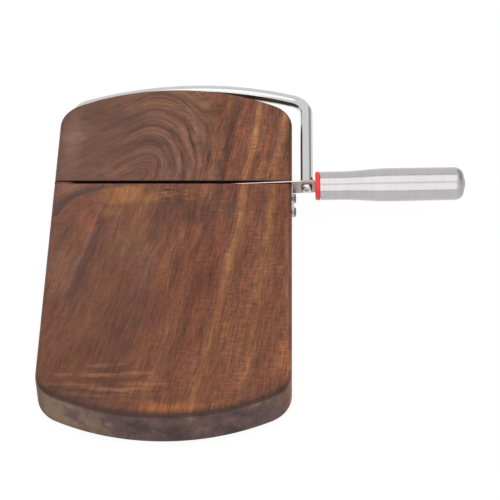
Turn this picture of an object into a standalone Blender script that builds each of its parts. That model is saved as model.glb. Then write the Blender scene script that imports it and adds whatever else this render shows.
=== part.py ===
"""Cheese slicing board: a wooden board with a wire bow hinged in it.

The board stands on four rubber feet and is slotted across near its rear end. A bent steel rod
is the bow. Its left leg is the axle: it turns in a blind bore that runs forward from the rear
end, across the slot, near the left side. The rod goes round the rear end and comes forward
along the right side, where a screw clamps a flat steel strip to its end. The strip carries the
cutting wire, a red collar and a hollow steel handle. At rest the wire lies in the slot, and the
strip stands on a stepped plate that two screws hold to the board's right side. Raised all the
way, the wire leans on a wooden key that fills the slot's left end above the axle.

Metres, +Z up. The handle is at +X and the slotted end at +Y. The origin is in the middle of the
cutting surface, from which the slot, the axle and the key are also measured.
"""

import math

import bmesh
import bpy
from mathutils import Matrix, Vector

MM = 0.001

# Board
BOARD_WIDTH = 150 * MM
BOARD_LENGTH = 280 * MM
BOARD_THICKNESS = 25 * MM
END_RADIUS = 140 * MM
CORNER_RADIUS = 21 * MM
EDGE_ROUND = 3 * MM

# Slot that the wire drops into, cut through both sides
SLOT_FROM_REAR = 88 * MM
SLOT_WIDTH = 2.6 * MM
SLOT_DEPTH = 14 * MM

# Wooden key let into the slot's left end, over the axle
KEY_SIDE_INSET = 1.2 * MM
KEY_SINK = 0.9 * MM

# Bow rod
ROD_DIAMETER = 8 * MM
AXLE_INSET = 9.5 * MM
AXLE_DEPTH = 12.5 * MM
AXLE_PAST_SLOT = 8 * MM
BOW_TILT = math.radians(3.25)
BOW_LIFT = math.radians(45)
BOW_ARC_RADIUS = 197 * MM
BOW_ARC_OFFSET = 3 * MM
AXLE_BEND_RADIUS = 9 * MM
HANDLE_BEND_RADIUS = 14 * MM
BOW_REAR_GAP = 2 * MM
BOW_SIDE_GAP = 5.4 * MM
ROD_END_CHAMFER = 0.6 * MM

# Cutting wire and the bead on its end
WIRE_DIAMETER = 0.9 * MM
WIRE_BEND_RADIUS = 1.1 * MM
BEAD_DIAMETER = 2.2 * MM
BEAD_LENGTH = 1.6 * MM

# Flat strip between the rod, the wire and the handle
STRIP_THICKNESS = 1.5 * MM
STRIP_HEIGHT = 10 * MM
STRIP_NOTCH_LENGTH = 5 * MM
TANG_HEIGHT = 6.5 * MM
TANG_LENGTH = 22 * MM
COLLAR_FROM_SCREW = 5.35 * MM
HANDLE_DROOP = math.radians(1.8)

# Screw that clamps the strip to the rod's end
STRIP_SCREW_SIZE = 4 * MM
STRIP_SCREW_HEAD = 7 * MM
STRIP_SCREW_HEAD_HEIGHT = 2.4 * MM
STRIP_SCREW_LENGTH = 11 * MM

# Handle
COLLAR_THICKNESS = 2.9 * MM
COLLAR_CHAMFER = 0.7 * MM
COLLAR_SPIGOT = 3 * MM
NECK_RADIUS = 9 * MM
BODY_RADIUS = 10.55 * MM
TAIL_RADIUS = 10.4 * MM
HANDLE_LENGTH = 91.5 * MM
FLARE_START = 13 * MM
FLARE_LENGTH = 30 * MM
TAIL_CORNER_RADIUS = 6 * MM
TAIL_DOME = 1 * MM
SHELL_WALL = 0.9 * MM
CORE_LENGTH = 21 * MM
PIN_DIAMETER = 3 * MM
PIN_FROM_COLLAR = 15 * MM

# Stepped plate that stops the bow
PLATE_THICKNESS = 0.8 * MM
PLATE_HEIGHT = 6.6 * MM
PLATE_CORNER = 2.5 * MM
PLATE_SCREW_SPACING = 12 * MM
PLATE_SCREW_MARGIN = 3 * MM
PLATE_SLOT_SETBACK = 0.1 * MM
PLATE_STEP_DROP = 2.5 * MM
PLATE_SCREW_SIZE = 2.8 * MM
PLATE_SCREW_HEAD = 6 * MM
PLATE_SCREW_HEAD_HEIGHT = 1.3 * MM
PLATE_SCREW_LENGTH = 12 * MM

# Feet
FOOT_HEIGHT = 3 * MM
FOOT_RADIUS = 7 * MM
FOOT_SIDE_INSET = 20 * MM
FOOT_END_INSET = 42 * MM
FOOT_RECESS_DEPTH = 1.5 * MM
FOOT_SCREW_SIZE = 2.8 * MM
FOOT_SCREW_HEAD = 5.6 * MM
FOOT_SCREW_HEAD_HEIGHT = 1 * MM
FOOT_SCREW_LENGTH = 9 * MM

# Shares of a screw's head or shank that its rim, cross recess and tip take
SCREW_RIM = 0.35
SCREW_TIP_LENGTH = 0.6
SCREW_TIP_RADIUS = 0.22
RECESS_LENGTH = 0.56
RECESS_WIDTH = 0.14
RECESS_DEPTH = 0.55
RECESS_TAPER = 0.45

# Clearances between pieces that touch or turn in each other
SEAT_GAP = 0.3 * MM
BORE_GAP = 0.4 * MM
WIRE_GAP = 0.25 * MM
STRIP_SIDE_GAP = 0.4 * MM

# Places that follow from the sizes above
ROD_RADIUS = ROD_DIAMETER / 2
WIRE_RADIUS = WIRE_DIAMETER / 2
UNDERSIDE_Z = -BOARD_THICKNESS
SIDE_X = BOARD_WIDTH / 2
SLOT_Y = BOARD_LENGTH / 2 - SLOT_FROM_REAR
AXLE_X = -SIDE_X + AXLE_INSET
AXLE_Z = -AXLE_DEPTH
BOW_SPAN = (SIDE_X + BOW_SIDE_GAP + ROD_RADIUS - AXLE_X) / math.cos(BOW_TILT)
WIRE_HEIGHT = ROD_RADIUS + WIRE_RADIUS + WIRE_GAP
STRIP_LEFT = ((SIDE_X + STRIP_SIDE_GAP - AXLE_X) / math.cos(BOW_TILT)
              + STRIP_HEIGHT / 2 * math.tan(BOW_TILT))
COLLAR_S = BOW_SPAN + COLLAR_FROM_SCREW
KEY_WIDTH = SLOT_WIDTH - 2 * SEAT_GAP
SHELL_START = COLLAR_THICKNESS + SEAT_GAP
SHELL_BORE = NECK_RADIUS - SHELL_WALL
CORE_START = COLLAR_THICKNESS + COLLAR_SPIGOT + SEAT_GAP


def clear_scene():
    """Remove whatever objects the scene holds."""
    for obj in list(bpy.data.objects):
        bpy.data.objects.remove(obj, do_unlink=True)


def make_material(name, colour, roughness, metallic=0.0):
    """A plain Principled material; colour is linear RGB."""
    mat = bpy.data.materials.new(name)
    mat.use_nodes = True
    shader = mat.node_tree.nodes["Principled BSDF"]
    shader.inputs["Base Color"].default_value = (*colour, 1.0)
    shader.inputs["Roughness"].default_value = roughness
    shader.inputs["Metallic"].default_value = metallic
    mat.diffuse_color = (*colour, 1.0)
    return mat


def add_empty(name, location, rotation=(0, 0, 0), parent=None):
    """An empty that carries a frame of its own."""
    empty = bpy.data.objects.new(name, None)
    empty.empty_display_size = 10 * MM
    empty.location = location
    empty.rotation_euler = rotation
    empty.parent = parent
    bpy.context.collection.objects.link(empty)
    return empty


def add_object(name, data, mat=None, parent=None, location=(0, 0, 0), rotation=(0, 0, 0)):
    """An object from a mesh or a curve. Without a material it is a hidden cutter."""
    obj = bpy.data.objects.new(name, data)
    obj.location = location
    obj.rotation_euler = rotation
    obj.parent = parent
    bpy.context.collection.objects.link(obj)
    if mat:
        data.materials.append(mat)
    else:
        obj.hide_render = True
        obj.display_type = "WIRE"
    return obj


def cut(target, *cutters):
    """Subtract the cutters from the target, one after the other."""
    for cutter in cutters:
        modifier = target.modifiers.new(f"cut {cutter.name}", "BOOLEAN")
        modifier.operation = "DIFFERENCE"
        modifier.solver = "EXACT"
        modifier.object = cutter


def round_edges(obj, width, segments=1, angle=40):
    """Bevel the edges that turn by more than the angle, in degrees."""
    modifier = obj.modifiers.new("rounded edges", "BEVEL")
    modifier.width = width
    modifier.segments = segments
    modifier.limit_method = "ANGLE"
    modifier.angle_limit = math.radians(angle)
    modifier.use_clamp_overlap = True


def mesh_of(bm, name, smooth=True):
    """A mesh with its faces pointing out, smooth where it is round."""
    bmesh.ops.recalc_face_normals(bm, faces=bm.faces)
    mesh = bpy.data.meshes.new(name)
    bm.to_mesh(mesh)
    bm.free()
    if smooth:
        mesh.shade_smooth()
        mesh.set_sharp_from_angle(angle=math.radians(35))
    return mesh


def arc(centre, radius, start, end, steps):
    """Points on an arc in a plane, from one angle to the other, in radians."""
    points = []
    for i in range(steps + 1):
        angle = start + (end - start) * i / steps
        points.append(Vector((centre[0] + radius * math.cos(angle),
                              centre[1] + radius * math.sin(angle))))
    return points


def prism(name, outline, depth, smooth=True):
    """A flat plate: the outline in XY, drawn out from z 0 to the depth."""
    bm = bmesh.new()
    face = bm.faces.new([bm.verts.new((x, y, 0)) for x, y in outline])
    drawn = bmesh.ops.extrude_face_region(bm, geom=[face])
    tops = [v for v in drawn["geom"] if isinstance(v, bmesh.types.BMVert)]
    bmesh.ops.translate(bm, verts=tops, vec=(0, 0, depth))
    return mesh_of(bm, name, smooth)


def revolve(name, profile, steps):
    """A body turned about Z from (radius, z) points; a profile that leaves the axis is closed."""
    bm = bmesh.new()
    verts = [bm.verts.new((radius, 0, z)) for radius, z in profile]
    edges = [bm.edges.new(pair) for pair in zip(verts, verts[1:])]
    if profile[0][0] > 0:
        edges.append(bm.edges.new((verts[-1], verts[0])))
    bmesh.ops.spin(bm, geom=verts + edges, cent=(0, 0, 0), axis=(0, 0, 1),
                   angle=math.tau, steps=steps, use_merge=True)
    bmesh.ops.remove_doubles(bm, verts=bm.verts, dist=1e-7)
    return mesh_of(bm, name)


def cylinder(name, radius, start, end, steps=24):
    """A plain cylinder about Z between two heights."""
    return revolve(name, [(0, start), (radius, start), (radius, end), (0, end)], steps)


def tube(name, points, radius, sides, mat, parent, end_chamfer=0.0):
    """A round bar along a path, as a curve with filled caps and an optional chamfer at its ends."""
    curve = bpy.data.curves.new(name, "CURVE")
    curve.dimensions = "3D"
    curve.bevel_depth = radius
    curve.bevel_resolution = (sides - 4) // 2
    curve.use_fill_caps = True
    path = [(Vector(point), 1.0) for point in points]
    if end_chamfer:
        start_run = (path[1][0] - path[0][0]).normalized()
        end_run = (path[-2][0] - path[-1][0]).normalized()
        small = 1 - end_chamfer / radius
        path = ([(path[0][0], small), (path[0][0] + start_run * end_chamfer, 1.0)]
                + path[1:-1]
                + [(path[-1][0] + end_run * end_chamfer, 1.0), (path[-1][0], small)])
    spline = curve.splines.new("POLY")
    spline.points.add(len(path) - 1)
    for spline_point, (place, share) in zip(spline.points, path):
        spline_point.co = (*place, 1)
        spline_point.radius = share
    spline.use_smooth = True
    return add_object(name, curve, mat, parent)


def cross_cutter(name, length, width, depth, parent, location, rotation=(0, 0, 0)):
    """The tapered cross recess of a screw head, sunk from z 0 downwards."""
    half, arm = width / 2, length / 2
    corner = [(arm, -half), (arm, half), (half, half)]
    outline = []
    for turn in range(4):
        rotate = Matrix.Rotation(turn * math.pi / 2, 2)
        outline += [rotate @ Vector(point) for point in corner]
    bm = bmesh.new()
    top = [bm.verts.new((x, y, depth)) for x, y in outline]
    low = [bm.verts.new((x * RECESS_TAPER, y * RECESS_TAPER, -depth)) for x, y in outline]
    bm.faces.new(top)
    bm.faces.new(list(reversed(low)))
    for i in range(len(outline)):
        j = (i + 1) % len(outline)
        bm.faces.new((top[i], low[i], low[j], top[j]))
    return add_object(name, mesh_of(bm, name, False), None, parent, location, rotation)


def pan_screw(name, size, head, head_height, length, mat, parent, location, rotation, steps=20):
    """A pan-head screw along Z: its head stands above z 0 and its shank goes down."""
    edge = head_height * SCREW_RIM
    tip = size * SCREW_TIP_LENGTH
    profile = [(0, head_height)]
    for i in range(1, 6):
        angle = i / 5 * math.pi / 2
        profile.append((head / 2 * math.sin(angle), edge + (head_height - edge) * math.cos(angle)))
    profile += [(head / 2, 0), (size / 2, 0), (size / 2, -length + tip),
                (size * SCREW_TIP_RADIUS, -length), (0, -length)]
    screw = add_object(name, revolve(name, profile, steps), mat, parent, location, rotation)
    top = Matrix.Translation(location) @ Matrix.Rotation(rotation[1], 4, "Y")
    top = top @ Matrix.Rotation(rotation[0], 4, "X") @ Matrix.Translation((0, 0, head_height))
    cut(screw, cross_cutter(f"{name}_recess", head * RECESS_LENGTH, head * RECESS_WIDTH,
                            head_height * RECESS_DEPTH, parent, top.to_translation(), rotation))
    return screw


def board_outline():
    """The board from above: straight sides, arched ends and rounded corners."""
    arc_y = BOARD_LENGTH / 2 - END_RADIUS
    corner_x = SIDE_X - CORNER_RADIUS
    corner_y = arc_y + math.sqrt((END_RADIUS - CORNER_RADIUS) ** 2 - corner_x ** 2)
    meet = math.atan2(corner_y - arc_y, corner_x)
    corner = arc((corner_x, corner_y), CORNER_RADIUS, 0, meet, 9)
    end = arc((0, arc_y), END_RADIUS, meet, math.pi - meet, 24)
    left = [Vector((-x, y)) for x, y in reversed(corner)]
    rear = corner + end[1:-1] + left
    return rear + [Vector((-x, -y)) for x, y in rear]


def make_board(mat):
    """The slotted board, with the axle's bore and the pilot holes of its screws."""
    board = add_object("board", prism("board", board_outline(), BOARD_THICKNESS), mat,
                       location=(0, 0, UNDERSIDE_Z))
    round_edges(board, EDGE_ROUND, segments=3)

    over = 5 * MM
    slot = prism("slot_cutter", [(-SIDE_X - over, -SLOT_WIDTH / 2), (SIDE_X + over, -SLOT_WIDTH / 2),
                                 (SIDE_X + over, SLOT_WIDTH / 2), (-SIDE_X - over, SLOT_WIDTH / 2)],
                 SLOT_DEPTH + over, False)
    slot = add_object("slot_cutter", slot, location=(0, SLOT_Y, -SLOT_DEPTH))

    bore_start = SLOT_Y - AXLE_PAST_SLOT - SEAT_GAP
    bore = cylinder("bore_cutter", ROD_RADIUS + BORE_GAP, 0, BOARD_LENGTH / 2 + over - bore_start, 32)
    bore = add_object("bore_cutter", bore, location=(AXLE_X, bore_start, AXLE_Z),
                      rotation=(-math.pi / 2, 0, 0))
    cut(board, slot, bore)

    for place, name in foot_places():
        hole = cylinder(f"{name}_pilot", FOOT_SCREW_SIZE / 2 + SEAT_GAP, -over,
                        FOOT_SCREW_LENGTH - foot_screw_sink() + SEAT_GAP, 12)
        cut(board, add_object(f"{name}_pilot", hole, location=(*place, UNDERSIDE_Z)))

    depth = PLATE_SCREW_LENGTH - PLATE_THICKNESS - SEAT_GAP
    for y, name in plate_screw_places():
        hole = cylinder(f"{name}_pilot", PLATE_SCREW_SIZE / 2 + SEAT_GAP, -depth, over, 12)
        cut(board, add_object(f"{name}_pilot", hole, location=(SIDE_X, y, plate_screw_z()),
                              rotation=(0, math.pi / 2, 0)))


def make_slot_key(mat):
    """The key over the axle: its right end is cut along the wire as it stands when raised."""
    top = -KEY_SINK
    sweep = math.hypot(WIRE_HEIGHT + WIRE_RADIUS, WIRE_BEND_RADIUS)
    bottom = AXLE_Z + max(sweep, ROD_RADIUS) + SEAT_GAP
    raised = BOW_TILT + BOW_LIFT
    along = Vector((math.cos(raised), math.sin(raised)))
    across = Vector((-along.y, along.x))
    wire_side = Vector((AXLE_X, AXLE_Z)) + across * (WIRE_HEIGHT + WIRE_RADIUS + SEAT_GAP)
    left = -SIDE_X + KEY_SIDE_INSET
    low_right, top_right = (wire_side + along * (z - wire_side.y) / along.y for z in (bottom, top))
    outline = [(left, bottom), low_right, top_right, (left, top)]
    add_object("slot_key", prism("slot_key", outline, KEY_WIDTH, False), mat,
               location=(0, SLOT_Y + KEY_WIDTH / 2, 0), rotation=(math.pi / 2, 0, 0))


def foot_places():
    """Where the feet stand, by name."""
    x = SIDE_X - FOOT_SIDE_INSET
    y = BOARD_LENGTH / 2 - FOOT_END_INSET
    return [((-x, -y), "foot_front_left"), ((x, -y), "foot_front_right"),
            ((-x, y), "foot_rear_left"), ((x, y), "foot_rear_right")]


def foot_screw_sink():
    """How far the underside of a foot screw's head lies below the board."""
    return FOOT_HEIGHT - FOOT_RECESS_DEPTH + SEAT_GAP


def make_feet(rubber, steel):
    """Four rubber feet, each with a screw sunk in it."""
    top = FOOT_HEIGHT - SEAT_GAP
    hole = FOOT_SCREW_SIZE / 2 + SEAT_GAP
    recess = FOOT_SCREW_HEAD / 2 + SEAT_GAP
    edge = 0.5 * MM
    profile = [(recess, 0), (FOOT_RADIUS - edge, 0), (FOOT_RADIUS, edge), (FOOT_RADIUS, top),
               (hole, top), (hole, FOOT_RECESS_DEPTH), (recess, FOOT_RECESS_DEPTH)]
    foot_mesh = revolve("foot", profile, 28)
    for (x, y), name in foot_places():
        mesh = foot_mesh.copy()
        mesh.name = name
        add_object(name, mesh, rubber, location=(x, y, UNDERSIDE_Z - FOOT_HEIGHT))
        pan_screw(name.replace("foot", "foot_screw"), FOOT_SCREW_SIZE, FOOT_SCREW_HEAD,
                  FOOT_SCREW_HEAD_HEIGHT, FOOT_SCREW_LENGTH, steel, None,
                  (x, y, UNDERSIDE_Z - foot_screw_sink()), (math.pi, 0, 0), 14)


def strip_foot_z():
    """Height of the strip's lower left corner at rest."""
    return AXLE_Z + STRIP_LEFT * math.sin(BOW_TILT) - STRIP_HEIGHT / 2 * math.cos(BOW_TILT)


def plate_screw_places():
    """Where the plate's two screws stand along the side, by name."""
    rear = SLOT_Y - SLOT_WIDTH / 2 - PLATE_SLOT_SETBACK - PLATE_SCREW_MARGIN
    return [(rear - PLATE_SCREW_SPACING, "plate_screw_front"), (rear, "plate_screw_rear")]


def plate_screw_z():
    """Height of the plate's screws, in the middle of its taller part."""
    return strip_foot_z() - SEAT_GAP + PLATE_STEP_DROP - PLATE_HEIGHT / 2


def make_stop_plate(steel):
    """The stepped plate on the right side; the strip's end comes down on its lower step."""
    (front_y, _), (rear_y, _) = plate_screw_places()
    front = front_y - PLATE_SCREW_MARGIN
    shoulder = rear_y + PLATE_SCREW_MARGIN
    rear = SLOT_Y + SLOT_WIDTH / 2 + SEAT_GAP
    step = strip_foot_z() - SEAT_GAP
    top = step + PLATE_STEP_DROP
    low = top - PLATE_HEIGHT
    radius = PLATE_CORNER
    outline = arc((front + radius, low + radius), radius, -math.pi / 2, -math.pi, 5)
    outline += arc((front + radius, top - radius), radius, math.pi, math.pi / 2, 5)
    outline += [Vector((shoulder, top)), Vector((shoulder, step)), Vector((rear, step))]
    outline += arc((rear - radius, low + radius), radius, 0, -math.pi / 2, 5)
    inner_x = SIDE_X + SEAT_GAP
    plate = add_object("stop_plate", prism("stop_plate", outline, PLATE_THICKNESS), steel,
                       location=(inner_x, 0, 0),
                       rotation=(math.pi / 2, 0, math.pi / 2))
    for y, name in plate_screw_places():
        hole = cylinder(f"{name}_hole", PLATE_SCREW_SIZE / 2 + SEAT_GAP, -2 * MM, 2 * MM, 20)
        cut(plate, add_object(f"{name}_hole", hole, location=(SIDE_X, y, plate_screw_z()),
                              rotation=(0, math.pi / 2, 0)))
        pan_screw(name, PLATE_SCREW_SIZE, PLATE_SCREW_HEAD, PLATE_SCREW_HEAD_HEIGHT,
                  PLATE_SCREW_LENGTH, steel, None,
                  (inner_x + PLATE_THICKNESS + SEAT_GAP, y, plate_screw_z()), (0, math.pi / 2, 0))


def bow_path():
    """The rod's centre line in the bow's plane, from the axle's blind end to the strip."""
    arc_s = (BOW_ARC_OFFSET - AXLE_X) / math.cos(BOW_TILT)
    end_arc_y = BOARD_LENGTH / 2 - END_RADIUS
    reach = BOW_ARC_RADIUS - ROD_RADIUS - END_RADIUS - BOW_REAR_GAP
    arc_y = end_arc_y - math.sqrt(reach ** 2 - BOW_ARC_OFFSET ** 2) - SLOT_Y

    def bend_centre(s, radius):
        """Centre of a bend that runs into the arc from inside."""
        inner = BOW_ARC_RADIUS - radius
        return Vector((s, arc_y + math.sqrt(inner ** 2 - (s - arc_s) ** 2)))

    left = bend_centre(AXLE_BEND_RADIUS, AXLE_BEND_RADIUS)
    right = bend_centre(BOW_SPAN - HANDLE_BEND_RADIUS, HANDLE_BEND_RADIUS)
    left_meet = math.atan2(left.y - arc_y, left.x - arc_s)
    right_meet = math.atan2(right.y - arc_y, right.x - arc_s)
    path = [Vector((0, -AXLE_PAST_SLOT))]
    path += arc(left, AXLE_BEND_RADIUS, math.pi, left_meet, 8)
    path += arc((arc_s, arc_y), BOW_ARC_RADIUS, left_meet, right_meet, 22)[1:-1]
    path += arc(right, HANDLE_BEND_RADIUS, right_meet, 0, 8)
    path.append(Vector((BOW_SPAN, STRIP_THICKNESS / 2 + SEAT_GAP)))
    return [(s, y, 0) for s, y in path]


def make_bow_rod(steel, bow):
    """The bent rod, cross-drilled for the wire and tapped for the strip's screw."""
    guide = tube("bow_rod_guide", bow_path(), ROD_RADIUS, 20, steel, bow, ROD_END_CHAMFER)
    rod = add_object("bow_rod", mesh_of_curve(guide), steel, bow)
    bpy.data.objects.remove(guide, do_unlink=True)

    reach = 2 * ROD_RADIUS
    wire_hole = cylinder("wire_hole", WIRE_RADIUS + SEAT_GAP, -reach, reach, 12)
    bead_seat = cylinder("bead_seat", BEAD_DIAMETER / 2 + SEAT_GAP, -reach,
                         -ROD_RADIUS + BEAD_LENGTH + 2 * SEAT_GAP, 16)
    tapped = cylinder("tapped_hole", STRIP_SCREW_SIZE / 2 + SEAT_GAP, -reach,
                      STRIP_SCREW_LENGTH, 20)
    cut(rod, add_object("wire_hole", wire_hole, None, bow),
        add_object("bead_seat", bead_seat, None, bow),
        add_object("tapped_hole", tapped, None, bow, (BOW_SPAN, 0, 0), (-math.pi / 2, 0, 0)))


def mesh_of_curve(guide):
    """The mesh of a curve object, shaded smooth along its length."""
    bpy.context.view_layer.update()
    graph = bpy.context.evaluated_depsgraph_get()
    bm = bmesh.new()
    bm.from_mesh(bpy.data.meshes.new_from_object(guide.evaluated_get(graph)))
    bmesh.ops.remove_doubles(bm, verts=bm.verts, dist=1e-6)
    return mesh_of(bm, guide.name)


def make_wire(steel, bow):
    """The cutting wire: through the axle, over its top and along the slot to the strip."""
    radius = WIRE_BEND_RADIUS
    hole_end = -ROD_RADIUS + SEAT_GAP + BEAD_LENGTH * 0.4
    path = [Vector((0, hole_end))]
    path += arc((radius, WIRE_HEIGHT - radius), radius, math.pi, math.pi / 2, 6)
    path.append(Vector((STRIP_LEFT + STRIP_NOTCH_LENGTH - SEAT_GAP, WIRE_HEIGHT)))
    tube("cutting_wire", [(s, 0, t) for s, t in path], WIRE_RADIUS, 12, steel, bow)

    bore = WIRE_RADIUS + WIRE_GAP
    low = -ROD_RADIUS + SEAT_GAP
    bead = revolve("wire_bead", [(bore, low), (BEAD_DIAMETER / 2, low),
                                 (BEAD_DIAMETER / 2, low + BEAD_LENGTH),
                                 (bore, low + BEAD_LENGTH)], 16)
    add_object("wire_bead", bead, steel, bow)


def make_strip(steel, bow, handle):
    """The flat strip: notched for the wire, shouldered at the collar, with a tang behind it."""
    half = STRIP_HEIGHT / 2
    notch = WIRE_HEIGHT - WIRE_RADIUS - WIRE_GAP
    shoulder = COLLAR_S - SEAT_GAP
    tilt = Matrix.Rotation(-HANDLE_DROOP, 2)
    tang = [tilt @ Vector(point) + Vector((COLLAR_S, 0)) for point in
            ((-SEAT_GAP, TANG_HEIGHT / 2), (TANG_LENGTH, TANG_HEIGHT / 2),
             (TANG_LENGTH, -TANG_HEIGHT / 2), (-SEAT_GAP, -TANG_HEIGHT / 2))]
    outline = [(STRIP_LEFT, -half), (STRIP_LEFT, notch), (STRIP_LEFT + STRIP_NOTCH_LENGTH, notch),
               (STRIP_LEFT + STRIP_NOTCH_LENGTH, half), (shoulder, half)]
    outline += [tuple(point) for point in tang] + [(shoulder, -half)]
    strip = add_object("handle_strip", prism("handle_strip", outline, STRIP_THICKNESS, False),
                       steel, bow, (0, STRIP_THICKNESS / 2, 0), (math.pi / 2, 0, 0))
    screw_hole = cylinder("strip_screw_hole", STRIP_SCREW_SIZE / 2 + SEAT_GAP,
                          -3 * MM, 3 * MM, 24)
    pin_hole = cylinder("strip_pin_hole", PIN_DIAMETER / 2 + SEAT_GAP, -3 * MM, 3 * MM, 20)
    across = (-math.pi / 2, 0, 0)
    cut(strip, add_object("strip_screw_hole", screw_hole, None, bow, (BOW_SPAN, 0, 0), across),
        add_object("strip_pin_hole", pin_hole, None, handle, (PIN_FROM_COLLAR, 0, 0), across))
    pan_screw("strip_screw", STRIP_SCREW_SIZE, STRIP_SCREW_HEAD, STRIP_SCREW_HEAD_HEIGHT,
              STRIP_SCREW_LENGTH, steel, bow,
              (BOW_SPAN, -STRIP_THICKNESS / 2 - SEAT_GAP, 0), (math.pi / 2, 0, 0), 24)


def tang_cutter(name, start, end, handle):
    """The rectangular hole that the tang fills in the collar and the core."""
    width = STRIP_THICKNESS / 2 + SEAT_GAP
    height = TANG_HEIGHT / 2 + SEAT_GAP
    outline = [(start, -height), (end, -height), (end, height), (start, height)]
    return add_object(name, prism(name, outline, 2 * width, False), None, handle,
                      (0, width, 0), (math.pi / 2, 0, 0))


def body_radius(x):
    """Outer radius of the handle between its neck and its tail corner."""
    share = min(max((x - FLARE_START) / FLARE_LENGTH, 0), 1)
    radius = NECK_RADIUS + (BODY_RADIUS - NECK_RADIUS) * share * share * (3 - 2 * share)
    belly = FLARE_START + FLARE_LENGTH
    tail = HANDLE_LENGTH - TAIL_DOME - TAIL_CORNER_RADIUS
    if x > belly:
        radius += (TAIL_RADIUS - BODY_RADIUS) * (x - belly) / (tail - belly)
    return radius


def handle_profile(wall):
    """The handle's outline from its mouth to its tail, drawn in by a wall, as (radius, x)."""
    tail = HANDLE_LENGTH - TAIL_DOME - TAIL_CORNER_RADIUS
    points = [(NECK_RADIUS - wall, 0)]
    flare_steps = 9
    for i in range(flare_steps + 1):
        x = FLARE_START + FLARE_LENGTH * i / flare_steps
        points.append((body_radius(x) - wall, x))
    corner = arc((TAIL_RADIUS - TAIL_CORNER_RADIUS, tail), TAIL_CORNER_RADIUS - wall,
                 0, math.pi / 2, 6)
    points += [(radius, x) for radius, x in corner]
    points += [((TAIL_RADIUS - TAIL_CORNER_RADIUS) * 0.5, HANDLE_LENGTH - TAIL_DOME * 0.25 - wall),
               (0, HANDLE_LENGTH - wall)]
    return points


def make_handle(red, steel, nylon, handle):
    """Collar, core, pin and hollow shell, each turned about the handle's own axis."""
    along = (0, math.pi / 2, 0)
    spigot = SHELL_BORE - SEAT_GAP
    collar_end = COLLAR_THICKNESS + COLLAR_SPIGOT
    collar = revolve("handle_collar", [
        (0, 0), (NECK_RADIUS - COLLAR_CHAMFER, 0), (NECK_RADIUS, COLLAR_CHAMFER),
        (NECK_RADIUS, COLLAR_THICKNESS), (spigot, COLLAR_THICKNESS), (spigot, collar_end),
        (0, collar_end)], 48)
    collar = add_object("handle_collar", collar, red, handle, (0, 0, 0), along)
    cut(collar, tang_cutter("collar_tang_hole", -MM, collar_end + MM, handle))

    core_end = CORE_START + CORE_LENGTH
    core = revolve("handle_core", [(0, CORE_START), (spigot, CORE_START), (spigot, core_end),
                                   (0, core_end)], 32)
    core = add_object("handle_core", core, nylon, handle, (0, 0, 0), along)
    pin_hole = cylinder("core_pin_hole", PIN_DIAMETER / 2 + SEAT_GAP, -NECK_RADIUS, NECK_RADIUS, 20)
    cut(core, tang_cutter("core_tang_hole", CORE_START - MM, TANG_LENGTH + SEAT_GAP, handle),
        add_object("core_pin_hole", pin_hole, None, handle, (PIN_FROM_COLLAR, 0, 0),
                   (-math.pi / 2, 0, 0)))
    pin = cylinder("tang_pin", PIN_DIAMETER / 2, -spigot + SEAT_GAP, spigot - SEAT_GAP, 16)
    add_object("tang_pin", pin, steel, handle, (PIN_FROM_COLLAR, 0, 0), (-math.pi / 2, 0, 0))

    outside = handle_profile(0)
    inside = handle_profile(SHELL_WALL)
    shell = add_object("handle_shell", revolve("handle_shell", outside_in(outside, inside), 40),
                       steel, handle, (SHELL_START, 0, 0), along)
    shell.data.name = "handle_shell"


def outside_in(outside, inside):
    """One profile from the tail's outer pole to the mouth and back to its inner pole."""
    return list(reversed(outside)) + inside


def build():
    clear_scene()
    wood = make_material("acacia", (0.16, 0.085, 0.05), 0.5)
    polished = make_material("polished steel", (0.62, 0.62, 0.63), 0.12, 1.0)
    satin = make_material("brushed steel", (0.56, 0.56, 0.57), 0.32, 1.0)
    red = make_material("red plastic", (0.78, 0.03, 0.03), 0.35)
    rubber = make_material("black rubber", (0.02, 0.02, 0.02), 0.8)
    nylon = make_material("grey nylon", (0.2, 0.2, 0.2), 0.5)

    make_board(wood)
    make_slot_key(wood)
    make_feet(rubber, satin)
    make_stop_plate(satin)

    bow = add_empty("bow_axis", (AXLE_X, SLOT_Y, AXLE_Z), (0, -BOW_TILT, 0))
    handle = add_empty("handle_axis", (COLLAR_S, 0, 0), (0, HANDLE_DROOP, 0), bow)
    make_bow_rod(polished, bow)
    make_wire(polished, bow)
    make_strip(satin, bow, handle)
    make_handle(red, satin, nylon, handle)


build()
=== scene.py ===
# %% [markdown]
# # A cheese board with a wire bow
# The object is a wooden serving board with a slot across it. A bent steel rod is hinged in the
# board's left edge and carries a wire, which swings down into the slot and slices the cheese.
# This lesson dresses its CAD model. The CAD model stays fixed: it says where each piece is and
# which pieces move together. Every piece made here takes the place of one CAD node.
#
# All modelling is done in metres. Sizes are written in millimetres and multiplied by MM.

# %% Load the CAD model
import math

import bmesh
import bpy
from mathutils import Matrix, Vector


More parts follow.
